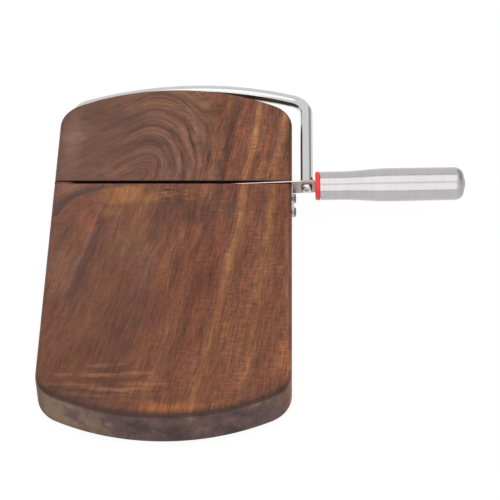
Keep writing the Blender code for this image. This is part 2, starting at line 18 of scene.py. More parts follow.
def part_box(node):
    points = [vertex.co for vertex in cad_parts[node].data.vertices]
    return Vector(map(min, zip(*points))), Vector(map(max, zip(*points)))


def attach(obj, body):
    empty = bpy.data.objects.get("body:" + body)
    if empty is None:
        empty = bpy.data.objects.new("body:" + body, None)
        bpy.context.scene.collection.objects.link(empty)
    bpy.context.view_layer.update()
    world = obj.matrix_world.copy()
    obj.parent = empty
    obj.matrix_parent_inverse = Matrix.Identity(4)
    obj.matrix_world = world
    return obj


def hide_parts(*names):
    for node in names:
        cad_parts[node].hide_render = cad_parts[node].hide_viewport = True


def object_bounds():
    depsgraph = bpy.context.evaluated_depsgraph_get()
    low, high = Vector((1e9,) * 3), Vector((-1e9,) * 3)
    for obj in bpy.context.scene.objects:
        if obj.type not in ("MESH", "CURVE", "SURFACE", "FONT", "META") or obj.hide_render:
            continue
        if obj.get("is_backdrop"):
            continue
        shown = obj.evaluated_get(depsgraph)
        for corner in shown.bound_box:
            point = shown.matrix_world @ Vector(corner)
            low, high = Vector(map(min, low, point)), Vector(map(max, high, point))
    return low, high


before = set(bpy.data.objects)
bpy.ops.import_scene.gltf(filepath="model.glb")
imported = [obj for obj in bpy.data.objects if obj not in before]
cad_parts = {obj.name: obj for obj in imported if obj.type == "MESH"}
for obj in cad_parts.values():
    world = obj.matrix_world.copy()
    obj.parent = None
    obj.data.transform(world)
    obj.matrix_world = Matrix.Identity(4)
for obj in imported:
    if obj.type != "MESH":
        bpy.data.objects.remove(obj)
cad_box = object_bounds()
MM = 0.001

print("nodes:", len(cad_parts))
print("size in mm:", [round((high - low) / MM, 1) for low, high in zip(*cad_box)])

# %% [markdown]
# ## The camera
# The photograph was taken from the front, about 46 degrees above the table, with a long lens.
# The board's outline gives the place of the camera: the front end looks wider than the rear end
# by just as much as a distance of 1.4 m makes it. The lens shift slides the picture sideways
# without turning the camera, because the board stands left of the middle.

# %% Place the camera
CAMERA_PLACE = Vector((75.0, -986.3, 1013.3)) * MM
CAMERA_TURN = math.radians(44)
LENS = 165.46
SENSOR = 36
SHIFT = -0.084

bpy.ops.object.camera_add(location=CAMERA_PLACE, rotation=(CAMERA_TURN, 0, 0))
camera = bpy.context.object
camera.name = "camera"
camera.data.lens = LENS
camera.data.sensor_width = SENSOR
camera.data.shift_x = SHIFT
camera.data.dof.use_dof = False
bpy.context.scene.camera = camera
print("camera looks down at", round(90 - math.degrees(CAMERA_TURN)), "degrees")

# %% [markdown]
# ## Colours and nodes
# A colour is easiest to read off a picture as an sRGB hex value, but shaders work in linear
# light, so one function turns the first into the second. Another small function adds a node to a
# material, sets its values and links it. Every material below is built with these two.

# %% Turn a colour linear


def linear(hex_colour):
    """An sRGB hex colour, such as "#a87850", as linear RGBA."""
    channels = [int(hex_colour[i:i + 2], 16) / 255 for i in (1, 3, 5)]
    light = [c / 12.92 if c <= 0.04045 else ((c + 0.055) / 1.055) ** 2.4 for c in channels]
    return (*light, 1.0)


print("linear middle grey:", round(linear("#808080")[0], 3))

# %% Add a node


def node(tree, kind, settings=None, **sockets):
    """Add a node. Settings are its properties, or the stops of a colour ramp as places with hex
    colours. Sockets, by name or as i0, i1, take a value, another node's output, or a node, whose
    first output is meant. A node such as Mix has hidden sockets for its other kinds of data,
    which are passed over."""
    made = tree.nodes.new(kind)
    for name, value in (settings or {}).items():
        if name == "stops":
            stops = made.color_ramp.elements
            while len(stops) < len(value):
                stops.new(1.0)
            for stop, (place, colour) in zip(stops, value):
                stop.position, stop.color = place, linear(colour)
        else:
            setattr(made, name, value)
    for name, value in sockets.items():
        open_sockets = [socket for socket in made.inputs if socket.enabled]
        if name[0] == "i" and name[1:].isdigit():
            socket = open_sockets[int(name[1:])]
        else:
            socket = next(s for s in open_sockets if s.name == name.replace("_", " "))
        if isinstance(value, bpy.types.Node):
            value = next(output for output in value.outputs if output.enabled)
        if isinstance(value, bpy.types.NodeSocket):
            tree.links.new(value, socket)
        else:
            socket.default_value = value
    return made


def new_material(name):
    """An empty node material and its tree."""
    material = bpy.data.materials.new(name)
    material.use_nodes = True
    material.node_tree.nodes.clear()
    return material, material.node_tree


print("a node is added with its settings and links")

# %% Short names for nodes and their settings
MATH, VECTOR, MIX = "ShaderNodeMath", "ShaderNodeVectorMath", "ShaderNodeMix"
RANGE, NOISE, RAMP = "ShaderNodeMapRange", "ShaderNodeTexNoise", "ShaderNodeValToRGB"
SPLIT, JOIN, COORDINATES = (f"ShaderNode{kind}" for kind in (
    "SeparateXYZ", "CombineXYZ", "TexCoord"))
ADD, SUBTRACT, MULTIPLY, MULTIPLY_ADD, ABSOLUTE, MAXIMUM, SMOOTH_MAX, LENGTH, SCALE = (
    {"operation": name} for name in (
        "ADD", "SUBTRACT", "MULTIPLY", "MULTIPLY_ADD", "ABSOLUTE", "MAXIMUM", "SMOOTH_MAX",
        "LENGTH", "SCALE"))
LINEAR, SMOOTH = ({"interpolation_type": name} for name in ("LINEAR", "SMOOTHSTEP"))
RGBA = {"data_type": "RGBA"}
WHITE = linear("#ffffff")
print("kinds of nodes with short names:", len((MATH, VECTOR, MIX, RANGE, NOISE, RAMP, SPLIT, JOIN,
                                               COORDINATES)))

# %% [markdown]
# Two groups of nodes come back in every finish. At its start stands the place of a point, in
# millimetres, and at its end the shader, with fine relief from a Bump node.

# %% The start and the end of a finish


def in_millimetres(tree):
    """A point's own place on the object, in millimetres."""
    place = node(tree, COORDINATES).outputs["Object"]
    return node(tree, VECTOR, MULTIPLY, i0=place, i1=(1 / MM,) * 3)


def surface_finish(tree, colour, roughness, height, strength, depth, **values):
    """The shader of a finish. The depth of its relief is in mm."""
    bump = node(tree, "ShaderNodeBump", Height=height, Strength=strength, Distance=depth * MM)
    shader = node(tree, "ShaderNodeBsdfPrincipled", Base_Color=colour, Roughness=roughness,
                  Normal=bump, **values)
    node(tree, "ShaderNodeOutputMaterial", Surface=shader)


print("a finish starts in mm and ends in a shader with relief")

# %% [markdown]
# ## The studio
# The photograph is a catalogue picture: white table, white background, soft light. The world and
# the floor show plain white to the camera and in reflections, through the Light Path node, while
# the lamps alone decide how bright the object is. The floor keeps a share of its real shading,
# so the object's soft shadow stays. Its glow is a little stronger than white to make up for that
# share.

# %% The world
AMBIENT = 0.56


def seen(tree):
    """1 for what the camera, a mirror or glass sees, and 0 for the light on the object."""
    path = node(tree, "ShaderNodeLightPath")
    share = path.outputs["Is Camera Ray"]
    for ray in ("Is Glossy Ray", "Is Transmission Ray"):
        share = node(tree, MATH, MAXIMUM, i0=share, i1=path.outputs[ray])
    return share


scene = bpy.context.scene
scene.view_settings.view_transform = "Standard"
scene.world = scene.world or bpy.data.worlds.new("studio")
scene.world.use_nodes = True
sky = scene.world.node_tree
sky.nodes.clear()
ambient = node(sky, "ShaderNodeBackground", Color=WHITE, Strength=AMBIENT)
white = node(sky, "ShaderNodeBackground", Color=WHITE, Strength=1.0)
mixed = node(sky, "ShaderNodeMixShader", i0=seen(sky), i1=ambient, i2=white)
node(sky, "ShaderNodeOutputWorld", Surface=mixed)
print("world strength on the object:", AMBIENT)

# %% The floor
FLOOR_SIZE = 6.0
FLOOR_Z = cad_box[0].z - 0.1 * MM
FLOOR_GLOW = 1.05
SHADOW_SHARE = 0.1

bpy.ops.object.select_all(action="DESELECT")
bpy.ops.mesh.primitive_plane_add(size=FLOOR_SIZE, location=(0, 0, FLOOR_Z))
floor = bpy.context.object
floor.name = "floor"
table, tree = new_material("white table")
keep = node(tree, MATH, MULTIPLY, i0=seen(tree), i1=1 - SHADOW_SHARE)
shaded = node(tree, "ShaderNodeBsdfDiffuse", Color=linear("#f4f4f4"))
glow = node(tree, "ShaderNodeEmission", Color=WHITE, Strength=FLOOR_GLOW)
mixed = node(tree, "ShaderNodeMixShader", i0=keep, i1=shaded, i2=glow)
node(tree, "ShaderNodeOutputMaterial", Surface=mixed)
floor.data.materials.append(table)
floor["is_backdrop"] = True
print("floor height in mm:", round(FLOOR_Z / MM, 1))

# %% [markdown]
# The handle is a mirror rolled into a tube, so its bands tell where the lamps hung. A wide soft
# box hung over the object and another leant in front of it, with a narrow gap between them
# behind the camera. Both are built here as large lamps. Their size keeps the shadows soft, and
# their brightness is chosen so that a colour renders about as it is written.

# %% The lamps
LAMP_RADIANCE = 0.69
LAMP_WIDTH = 1.7
SOFT_BOXES = [
    # name, place in m, lean in degrees, length in m
    ("overhead soft box", (0.1, -0.07, 1.2), 0, 1.12),
    ("front soft box", (0.1, -1.12, 0.59), 63, 1.22)]

for name, place, lean, length in SOFT_BOXES:
    bpy.ops.object.light_add(type="AREA", location=place, rotation=(math.radians(lean), 0, 0))
    lamp = bpy.context.object
    lamp.name = name
    lamp.visible_camera = False
    lamp.data.shape = "RECTANGLE"
    lamp.data.size = LAMP_WIDTH
    lamp.data.size_y = length
    lamp.data.energy = LAMP_RADIANCE * math.pi * LAMP_WIDTH * length
    print(name, "watts:", round(lamp.data.energy, 2))

# %% [markdown]
# The polished rod has a dark line along its right side, and the handle's tail is shaded. Both
# mirror the same thing: the room was darker behind the object on the right, most of all low over
# the table. Two upright cards stand for that. Thin black strips stand for the frames of the soft
# boxes, which draw a fine line along the edges of the handle's bright band. Only reflections see
# any of these. Each card shines from one grey at its low edge to another at its high edge, and
# fades out towards all four edges.

# %% Cards that only reflections see
CARDS = [
    # name, place in m, turn in degrees, width and height in m, low grey, high grey, soft share
    ("dark doorway", (1.02, 1.25, 0.6), (90, 0, -40), 0.8, 1.2, 0.05, 0.9, 0.2),
    ("grey wall", (1.62, 0.62, 0.55), (90, 0, -68), 1.15, 1.25, 0.2, 0.42, 0.12),
    ("overhead frame", (0.1, 0.53, 1.2), (0, 0, 0), LAMP_WIDTH, 0.08, 0, 0, 0.03),
    ("front frame", (0.1, -1.415, 0.01), (63, 0, 0), LAMP_WIDTH, 0.08, 0, 0, 0.03)]

for name, place, turn, width, height, low, high, soft in CARDS:
    bpy.ops.object.select_all(action="DESELECT")
    bpy.ops.mesh.primitive_plane_add(size=1, location=place,
                                     rotation=[math.radians(angle) for angle in turn])
    card = bpy.context.object
    card.name = name
    card.scale = (width, height, 1)
    card.visible_camera = card.visible_diffuse = card.visible_shadow = False
    paper, tree = new_material(name)
    spot = node(tree, SPLIT, Vector=node(tree, COORDINATES).outputs["Object"])
    grey = node(tree, RANGE, Value=spot.outputs["Y"], i1=-0.5, i2=0.5, i3=low, i4=high)
    glow = node(tree, "ShaderNodeEmission", Color=WHITE, Strength=grey)
    sides = [node(tree, MATH, ABSOLUTE, i0=spot.outputs[side]) for side in "XY"]
    outwards = node(tree, MATH, MAXIMUM, i0=sides[0], i1=sides[1])
    share = node(tree, RANGE, SMOOTH, Value=outwards, i1=0.5, i2=0.5 - soft)
    clear = node(tree, "ShaderNodeBsdfTransparent")
    faded = node(tree, "ShaderNodeMixShader", i0=share, i1=clear, i2=glow)
    node(tree, "ShaderNodeOutputMaterial", Surface=faded)
    card.data.materials.append(paper)
    card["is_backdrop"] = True
print("cards:", ", ".join(row[0] for row in CARDS))

# %% [markdown]
# ## Tools for modelling
# The pieces are modelled as by hand: a primitive, then extrude, spin, bevel and inset in edit
# mode. What a hand does with the mouse, selecting a few faces, is done here by their place or by
# the way they face. Booleans drill and slot. Every piece is finished by the same steps, so one
# function takes them all.

# %% Starting and selecting


def leave_edit_mode():
    """Go back to object mode, if a piece is open in edit mode."""
    if bpy.context.object and bpy.context.object.mode == "EDIT":
        bpy.ops.object.mode_set(mode="OBJECT")


def start_piece(name, add, **values):
    """Add a primitive with nothing else selected, name it and enter edit mode."""
    leave_edit_mode()
    bpy.ops.object.select_all(action="DESELECT")
    add(**values)
    piece = bpy.context.object
    piece.name = piece.data.name = name
    bpy.ops.object.mode_set(mode="EDIT")
    return piece


def apply_place():
    """Apply the active piece's place, turn and size to its mesh, and go back to edit mode."""
    bpy.ops.object.mode_set(mode="OBJECT")
    bpy.ops.object.transform_apply(location=True, rotation=True, scale=True)
    bpy.ops.object.mode_set(mode="EDIT")


def select_all(kind):
    """Select all verts, edges or faces."""
    bpy.ops.mesh.select_mode(type=kind)
    bpy.ops.mesh.select_all(action="SELECT")


def pick(kind, test):
    """Select the verts, edges or faces for which test(middle, direction) is true.

    The direction is a face's or vertex's normal, or the way that an edge runs."""
    bpy.ops.mesh.select_mode(type=kind)
    bpy.ops.mesh.select_all(action="DESELECT")
    shape = bmesh.from_edit_mesh(bpy.context.edit_object.data)
    shape.normal_update()
    count = 0
    for part in {"VERT": shape.verts, "EDGE": shape.edges, "FACE": shape.faces}[kind]:
        if kind == "VERT":
            middle, direction = part.co, part.normal
        elif kind == "EDGE":
            ends = [v.co for v in part.verts]
            middle, direction = (ends[0] + ends[1]) / 2, (ends[1] - ends[0]).normalized()
        else:
            middle, direction = part.calc_center_median(), part.normal
        if test(middle, direction):
            part.select_set(True)
            count += 1
    shape.select_flush_mode()
    bmesh.update_edit_mesh(bpy.context.edit_object.data)
    return count


print("selecting helpers ready")

# %% Moves in edit mode


def draw_on(step):
    """Extrude the selection by a step."""
    bpy.ops.mesh.extrude_region_move(TRANSFORM_OT_translate={"value": step})


def spin(centre, axis, degrees, steps):
    """Sweep the selection about an axis, anticlockwise as seen from the axis's tip.

    The spin tool itself counts clockwise as positive, so the angle's sign is turned round."""
    bpy.ops.mesh.spin(steps=steps, angle=-math.radians(degrees), center=centre, axis=axis)


def round_off(width, segments):
    """Bevel the selected edges."""
    bpy.ops.mesh.bevel(offset=width, segments=segments, profile=0.5, affect="EDGES")


def face_outwards():
    """Turn all faces outwards."""
    bpy.ops.mesh.select_all(action="SELECT")
    bpy.ops.mesh.normals_make_consistent(inside=False)


print("moves: extrude, spin, bevel, face outwards")

# %% Shapes to start from


def start_point(name, place):
    """A single vertex to draw an outline from."""
    piece = start_piece(name, bpy.ops.mesh.primitive_plane_add, size=MM, location=place)
    bpy.ops.mesh.merge(type="CENTER")
    select_all("VERT")
    apply_place()
    return piece


def start_disc(name, vertices, radius, place, turn=(0, 0, 0)):
    """A round face to draw along a path."""
    piece = start_piece(name, bpy.ops.mesh.primitive_circle_add, vertices=vertices, radius=radius,
                        fill_type="NGON", location=place, rotation=turn)
    apply_place()
    select_all("FACE")
    return piece


def box_piece(name, low, high):
    """A box between two corners, in edit mode."""
    low, high = Vector(low), Vector(high)
    piece = start_piece(name, bpy.ops.mesh.primitive_cube_add, size=1, location=(low + high) / 2,
                        scale=high - low)
    apply_place()
    return piece


def draw_outline(name, corners):
    """Draw a flat outline corner by corner and fill it."""
    piece = start_point(name, corners[0])
    for here, there in zip(corners, corners[1:]):
        draw_on(Vector(there) - Vector(here))
    bpy.ops.mesh.select_all(action="SELECT")
    bpy.ops.mesh.edge_face_add()
    return piece


def turned(name, profile, vertices):
    """Turn a round piece on Z: a disc, then rings extruded and scaled to (radius, z) points.

    A radius of 0 closes an end in a point: a ring too small to see, whose vertices still stand
    far enough apart to stay when doubles are merged. Any other radius closes it with a flat
    face."""
    point = 0.011 * MM
    radius, z = profile[0]
    now = max(radius, point)
    piece = start_disc(name, vertices, now, (0, 0, z))
    for radius, next_z in profile[1:]:
        draw_on((0, 0, next_z - z))
        target = max(radius, point)
        bpy.ops.transform.resize(value=(target / now, target / now, 1),
                                 center_override=(0, 0, next_z))
        now, z = target, next_z
    return piece


print("shapes to start from: point, disc, box, outline, turned piece")

# %% Cutting, placing and copying


def take_up(piece):
    """Make one piece the active one, with nothing else selected."""
    leave_edit_mode()
    bpy.ops.object.select_all(action="DESELECT")
    piece.select_set(True)
    bpy.context.view_layer.objects.active = piece


def carve(piece, cutter):
    """Cut one mesh out of another, and throw the cutter away."""
    take_up(piece)
    boolean = piece.modifiers.new("carve", "BOOLEAN")
    boolean.operation = "DIFFERENCE"
    boolean.solver = "EXACT"
    boolean.object = cutter
    bpy.ops.object.modifier_apply(modifier=boolean.name)
    bpy.data.objects.remove(cutter, do_unlink=True)


def drill(piece, radius, place, length, turn=(0, 0, 0), vertices=24):
    """Drill a round hole whose middle is at a place. It runs along Z if it isn't turned."""
    bit = start_piece("drill", bpy.ops.mesh.primitive_cylinder_add, vertices=vertices,
                      radius=radius, depth=length, location=place, rotation=turn)
    apply_place()
    carve(piece, bit)


def place_in(piece, matrix):
    """Move a mesh that was modelled at the origin to its place, and apply it."""
    take_up(piece)
    piece.matrix_world = matrix @ piece.matrix_world
    bpy.ops.object.transform_apply(location=True, rotation=True, scale=True)


def copy_of(piece, name):
    """A copy of a piece, with a mesh of its own."""
    take_up(piece)
    bpy.ops.object.duplicate(linked=False)
    made = bpy.context.object
    made.name = made.data.name = name
    return made


print("helpers for whole pieces ready")

# %% Finishing a piece
SAME_PLACE = 0.001 * MM
SHARP_ANGLE = math.radians(35)


def finish_piece(piece, nodes, body, material):
    """Clean the mesh, shade it, give it its finish and let it ride on its body."""
    place_in(piece, Matrix.Identity(4))
    bpy.ops.object.mode_set(mode="EDIT")
    bpy.ops.mesh.select_all(action="SELECT")
    bpy.ops.mesh.remove_doubles(threshold=SAME_PLACE)
    face_outwards()
    bpy.ops.object.mode_set(mode="OBJECT")
    bpy.ops.object.shade_smooth_by_angle(angle=SHARP_ANGLE)
    weights = piece.modifiers.new("flat faces", "WEIGHTED_NORMAL")
    weights.keep_sharp = True
    bpy.ops.object.modifier_apply(modifier=weights.name)
    piece.data.materials.clear()
    piece.data.materials.append(material)
    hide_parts(*nodes)
    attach(piece, body)
    size = [round(side / MM, 1) for side in piece.dimensions]
    print(piece.name, "mm:", size, "faces:", len(piece.data.polygons))


print("faces meet softly below", round(math.degrees(SHARP_ANGLE)), "degrees")

# %% [markdown]
# ## Oiled acacia
# Acacia is a dense, dark hardwood with gold and nearly black streaks. The board is flat-sawn and
# oiled, which deepens its colour and leaves it satin. Its streaks lean from the rear right to the
# front left. Behind the slot they turn round the foot of a branch in narrow arches, and in front of
# it, on the left, they curl round to the side.
#
# A tree is a stack of growth layers, so the material first works out, for each point, how far
# across the layers it lies. Lines on which that number stays the same are the grain. One ramp
# then colours the straight grain, another the arches, and noise stretched along the same lines
# draws the fine fibres. The pattern uses object coordinates in millimetres, so it runs through
# the wood and shows on the sides too.

# %% Wood colours, read off the photograph's large areas
GOLD, HONEY, AMBER, TAN = "#b28053", "#a2744e", "#8f6347", "#84593f"
BROWN, RUSSET, OLIVE, MAUVE = "#7b5243", "#764736", "#7f614a", "#77574c"
DUST, PLUM, UMBER, PORE = "#866659", "#6c4c42", "#5f4037", "#3a2722"
print("brown in linear light:", [round(value, 3) for value in linear(BROWN)[:3]])

# %% Start the wood
oiled_acacia, wood = new_material("oiled acacia")
in_mm = in_millimetres(wood)
facing = node(wood, SPLIT, Vector=node(wood, COORDINATES).outputs["Normal"])
level = node(wood, MATH, ABSOLUTE, i0=facing.outputs["Z"])
level = node(wood, RANGE, SMOOTH, Value=level, i1=0.5, i2=0.95)


def fade(share, *limits, shape=SMOOTH):
    """Let a share fade in as each measure goes from its start to its end: (measure, start, end)."""
    for measure, start, end in limits:
        part = node(wood, RANGE, shape, Value=measure, i1=start, i2=end)
        share = node(wood, MATH, MULTIPLY, i0=share, i1=part)
    return share


def flat_distance(place):
    """How far a place is from the origin, seen from above."""
    return node(wood, VECTOR, LENGTH, i0=node(wood, VECTOR, MULTIPLY, i0=place, i1=(1, 1, 0)))


print("started:", oiled_acacia.name)

# %% Across the straight grain
SWAYS = [
    # noise in mm, detail, how far it bends the grain in mm
    (60, 1.5, (7, 4, 0)),
    (11, 2, (1.6, 0.8, 0))]
LEAN, LEAN_TURN, LEAN_FROM_Y = 0.17, -0.0013, 75
DEPTH_TILT = 0.55
REAR_BEND = -0.0007

bent = in_mm
for size, detail, reach in SWAYS:
    sway = node(wood, NOISE, Vector=in_mm, Scale=1 / size, Detail=detail).outputs["Color"]
    sway = node(wood, VECTOR, SUBTRACT, i0=sway, i1=(0.5, 0.5, 0.5))
    bent = node(wood, VECTOR, MULTIPLY_ADD, i0=sway, i1=reach, i2=bent)
x, y, z = node(wood, SPLIT, Vector=bent).outputs

lean = node(wood, MATH, MULTIPLY_ADD, i0=x, i1=LEAN_TURN, i2=LEAN)
ahead = node(wood, MATH, SUBTRACT, i0=y, i1=LEAN_FROM_Y)
leant = node(wood, MATH, MULTIPLY, i0=lean, i1=ahead)
straight = node(wood, MATH, SUBTRACT, i0=x, i1=leant)
straight = node(wood, MATH, MULTIPLY_ADD, i0=z, i1=DEPTH_TILT, i2=straight)
far = node(wood, MATH, SMOOTH_MAX, i0=ahead, i1=0, i2=15)
far = node(wood, MATH, MULTIPLY, i0=far, i1=far)
straight = node(wood, MATH, MULTIPLY_ADD, i0=far, i1=REAR_BEND, i2=straight)
print("the grain leans", LEAN, "mm to the left for each mm towards the front")

# %% Across the arches and the whorl
BRANCH_X, BRANCH_Y = -20, 60
ARCH_SLOPES = 0.75, -0.3
ARCH_STRETCH = 1.75
WHORL = (-43, 15, 0)

from_branch = node(wood, MATH, SUBTRACT, i0=x, i1=BRANCH_X)
to_right = node(wood, MATH, SMOOTH_MAX, i0=from_branch, i1=0, i2=8)
to_left = node(wood, MATH, MULTIPLY, i0=from_branch, i1=-1)
to_left = node(wood, MATH, SMOOTH_MAX, i0=to_left, i1=0, i2=8)
up = y
for side, slope in zip((to_left, to_right), ARCH_SLOPES):
    up = node(wood, MATH, MULTIPLY_ADD, i0=side, i1=slope, i2=up)
up = node(wood, MATH, SUBTRACT, i0=up, i1=BRANCH_Y)
up = node(wood, MATH, MULTIPLY, i0=up, i1=1 / ARCH_STRETCH)
arch = node(wood, VECTOR, LENGTH, i0=node(wood, JOIN, X=to_right, Y=up))
behind_slot = node(wood, RANGE, SMOOTH, Value=y, i1=49, i2=55)
arch_share = fade(behind_slot, (x, 34, 14))
level_arch = node(wood, MATH, SUBTRACT, i0=arch, i1=21)
across = node(wood, MIX, Factor=arch_share, A=straight, B=level_arch)

from_whorl = flat_distance(node(wood, VECTOR, SUBTRACT, i0=bent, i1=WHORL))
whorl_at = node(wood, MATH, SUBTRACT, i0=from_whorl, i1=60)
in_front = node(wood, MATH, SUBTRACT, i0=1, i1=behind_slot)
in_front = node(wood, MATH, MULTIPLY, i0=in_front, i1=level)
whorl_share = fade(in_front, (x, -38, -47), (y, 8, 24), (from_whorl, 14, 27))
straight, across = (node(wood, MIX, Factor=whorl_share, A=grain, B=whorl_at)
                    for grain in (straight, across))
print("the arches start at", (BRANCH_X, BRANCH_Y), "and the whorl at", WHORL[:2])

# %% The streaks
STRAIGHT_STREAKS = [
    (-72, MAUVE), (-48, MAUVE), (-40, BROWN), (-36, TAN), (-34, DUST), (-31.5, PLUM), (-20, BROWN),
    (-12, TAN), (-4, BROWN), (3, PLUM), (8, BROWN), (16, TAN), (22, RUSSET), (27, AMBER),
    (31, UMBER), (35, RUSSET), (41, RUSSET), (45, BROWN), (48, GOLD), (51, TAN), (57, RUSSET),
    (62, BROWN), (66, GOLD), (69, TAN), (74, RUSSET), (82, BROWN), (92, AMBER)]
ARCH_STREAKS = [
    (0, PLUM), (9, PLUM), (13, DUST), (17, MAUVE), (20, PLUM), (23.5, DUST), (25.5, PLUM),
    (28, MAUVE), (31.5, DUST), (34, PLUM), (37, OLIVE), (41, MAUVE), (48, OLIVE), (56, MAUVE)]
RAMP_REACH = 100

straight_at = node(wood, MATH, MULTIPLY_ADD, i0=straight, i1=0.5 / RAMP_REACH, i2=0.5)
straight_stops = [(0.5 + 0.5 * mm / RAMP_REACH, colour) for mm, colour in STRAIGHT_STREAKS]
straight_colour = node(wood, RAMP, {"stops": straight_stops}, Fac=straight_at)
arch_at = node(wood, MATH, MULTIPLY, i0=arch, i1=1 / RAMP_REACH)
arch_stops = [(mm / RAMP_REACH, colour) for mm, colour in ARCH_STREAKS]
arch_colour = node(wood, RAMP, {"stops": arch_stops}, Fac=arch_at)
streaks = node(wood, MIX, RGBA, Factor=arch_share, A=straight_colour, B=arch_colour)
print("streaks across the grain:", len(STRAIGHT_STREAKS), "and", len(ARCH_STREAKS))

# %% [markdown]
# What no list can hold comes from noise. Each row below gives the size of its spots in mm: across
# the layers, along them and downwards. Fibres are the finest grain. Real ones are a tenth of a
# millimetre wide. They are drawn a millimetre wide here, because finer ones would not show. Pores
# are short dark dashes among them. Where the fibres wave up and down, light crosses the grain in
# ripples, which is called figure. These ripples are measured along the board and not the layers.

# %% Noise for grain and figure
along = node(wood, JOIN, X=across, Y=y, Z=z)
PATTERNS = [
    (along, (14, 45, 30), 1, 0.5),  # how the streaks fade
    (along, (11, 30, 20), 3, 0.5),  # clouds
    (along, (4.5, 60, 8), 2, 0.5),  # bands
    (along, (1, 16, 2), 3, 0.65),  # fibres
    (along, (2.6, 4.5, 3), 3, 0.5),  # mottle
    (along, (0.6, 6, 0.6), 1, 0.5),  # pores
    (bent, (5.5, 1.9, 3), 2, 0.5),  # fine figure
    (bent, (28, 3.8, 20), 2, 0.5),  # coarse figure
    (bent, (7, 1.9, 8), 2, 0.5)]  # figure round a knot

noises = []
for source, size, detail, roughness in PATTERNS:
    source = node(wood, VECTOR, MULTIPLY, i0=source, i1=[1 / side for side in size])
    noises.append(node(wood, NOISE, Vector=source, Scale=1, Detail=detail, Roughness=roughness))
fading, clouds, bands, fibres, mottle, pores, fine_figure, coarse_figure, knot_figure = noises
print("noises:", len(noises))

# %% [markdown]
# No streak is equally strong all along. The ground colour of the wood drifts from greyish mauve
# at the rear left to warm red-brown at the front, and the streaks fade in and out of it. They
# are calmest at the rear left, where the cut runs nearly flat through the layers. One grey stain
# runs down the left half in front of the slot and curves round its head to the left side.

# %% The ground colour
FRONT_GROUND, REAR_GROUND = ("#704a3a", "#7f523c"), ("#715348", "#7b5341")
STAIN_AT = -29

to_right_side = node(wood, RANGE, SMOOTH, Value=x, i1=-60, i2=45)
to_rear_end = node(wood, RANGE, SMOOTH, Value=y, i1=-100, i2=90)
grounds = [node(wood, MIX, RGBA, Factor=to_right_side, A=linear(left), B=linear(right))
           for left, right in (FRONT_GROUND, REAR_GROUND)]
ground = node(wood, MIX, RGBA, Factor=to_rear_end, A=grounds[0], B=grounds[1])

strength = node(wood, RANGE, Value=fading, i1=0.35, i2=0.62, i3=0.3, i4=1.0)
rear_left = fade(behind_slot, (x, -20, -50))
calm = node(wood, MATH, MULTIPLY_ADD, i0=rear_left, i1=-0.85, i2=1)
front_fade = node(wood, RANGE, SMOOTH, Value=y, i1=-70, i2=10, i3=0.45, i4=1.0)
for part in (calm, front_fade):
    strength = node(wood, MATH, MULTIPLY, i0=strength, i1=part)

from_stain = node(wood, MATH, SUBTRACT, i0=straight, i1=STAIN_AT)
from_stain = node(wood, MATH, ABSOLUTE, i0=from_stain)
stain = node(wood, RANGE, SMOOTH, Value=from_stain, i1=3.6, i2=0.4, i3=0, i4=0.85)
stain = fade(stain, (y, -64, -40), (y, 52, 46))
redness = node(wood, RANGE, Value=clouds.outputs["Color"], i1=0.48, i2=0.66)
less_on_arches = node(wood, RANGE, Value=arch_share, i3=0.45, i4=0.1)
redness = node(wood, MATH, MULTIPLY, i0=redness, i1=less_on_arches)

marked = node(wood, MIX, RGBA, Factor=strength, A=ground, B=streaks)
for share, colour in ((stain, "#574340"), (redness, "#6d3c2b")):
    marked = node(wood, MIX, RGBA, Factor=share, A=marked, B=linear(colour))
print("the stain lies at", STAIN_AT, "mm across the grain")

# %% [markdown]
# Some marks belong to one place: the honey-coloured patch in front of the slot, the dark shade
# beside it, the paler strip along the left side. Each is a soft oval of colour whose rim wanders
# with noise.

# %% Marks in one place
MARKS = [
    # x, y, half width, half length, colour, strength
    (-38, 108, 20, 12, "#66493f", 0.8),
    (-66, 98, 8, 24, "#8a6b5f", 0.85),
    (-66, 70, 8, 14, "#86685d", 0.6),
    (58, 62, 16, 9, "#94694a", 0.5),
    (-12, 105, 9, 12, "#8b6551", 0.5),
    (-38, 81, 16, 6, PLUM, 0.8),
    (-40, 62, 22, 5, "#876050", 0.6),
    (-66, 45, 10, 4, "#8c6b5d", 0.6),
    (-52, 17, 8, 10, "#8c5543", 0.7),
    (-66, -25, 8, 26, "#8a6552", 0.55),
    (-39, 27, 8, 7, HONEY, 0.5),
    (-24, -1, 14, 16, OLIVE, 0.5),
    (-11, -56, 10, 24, "#69443a", 0.65),
    (0, -8, 9, 10, "#6f473a", 0.5),
    (-24, 12, 7, 9, "#6e4b3d", 0.45),
    (4, -86, 15, 9, "#6d4434", 0.45),
    (-27, 40, 20, 8, "#a0704a", 0.95),
    (12, 27, 30, 13, "#633f34", 0.85),
    (33, 30, 9, 9, PLUM, 0.6),
    (-23, -72, 11, 26, "#62402f", 0.75),
    (-50, -96, 18, 16, "#66412f", 0.6),
    (-31, -113, 9, 17, "#5d3c2f", 0.8),
    (16, -30, 18, 30, "#6c4030", 0.6),
    (70, -97, 7, 13, "#9b6642", 0.7),
    (72, -30, 3, 60, AMBER, 0.6)]

wander = node(wood, NOISE, Vector=in_mm, Scale=1 / 9, Detail=3).outputs["Color"]
wander = node(wood, VECTOR, SUBTRACT, i0=wander, i1=(0.5, 0.5, 0.5))
wandering = node(wood, VECTOR, MULTIPLY_ADD, i0=wander, i1=(14, 22, 0), i2=in_mm)


def oval_share(mark_x, mark_y, wide, long, share):
    """A soft oval: the share inside it, zero outside."""
    oval = node(wood, VECTOR, MULTIPLY_ADD, i0=wandering, i1=(1 / wide, 1 / long, 0),
                i2=(-mark_x / wide, -mark_y / long, 0))
    oval = node(wood, VECTOR, LENGTH, i0=oval)
    return node(wood, RANGE, SMOOTH, Value=oval, i1=1.3, i2=0.3, i3=0, i4=share)


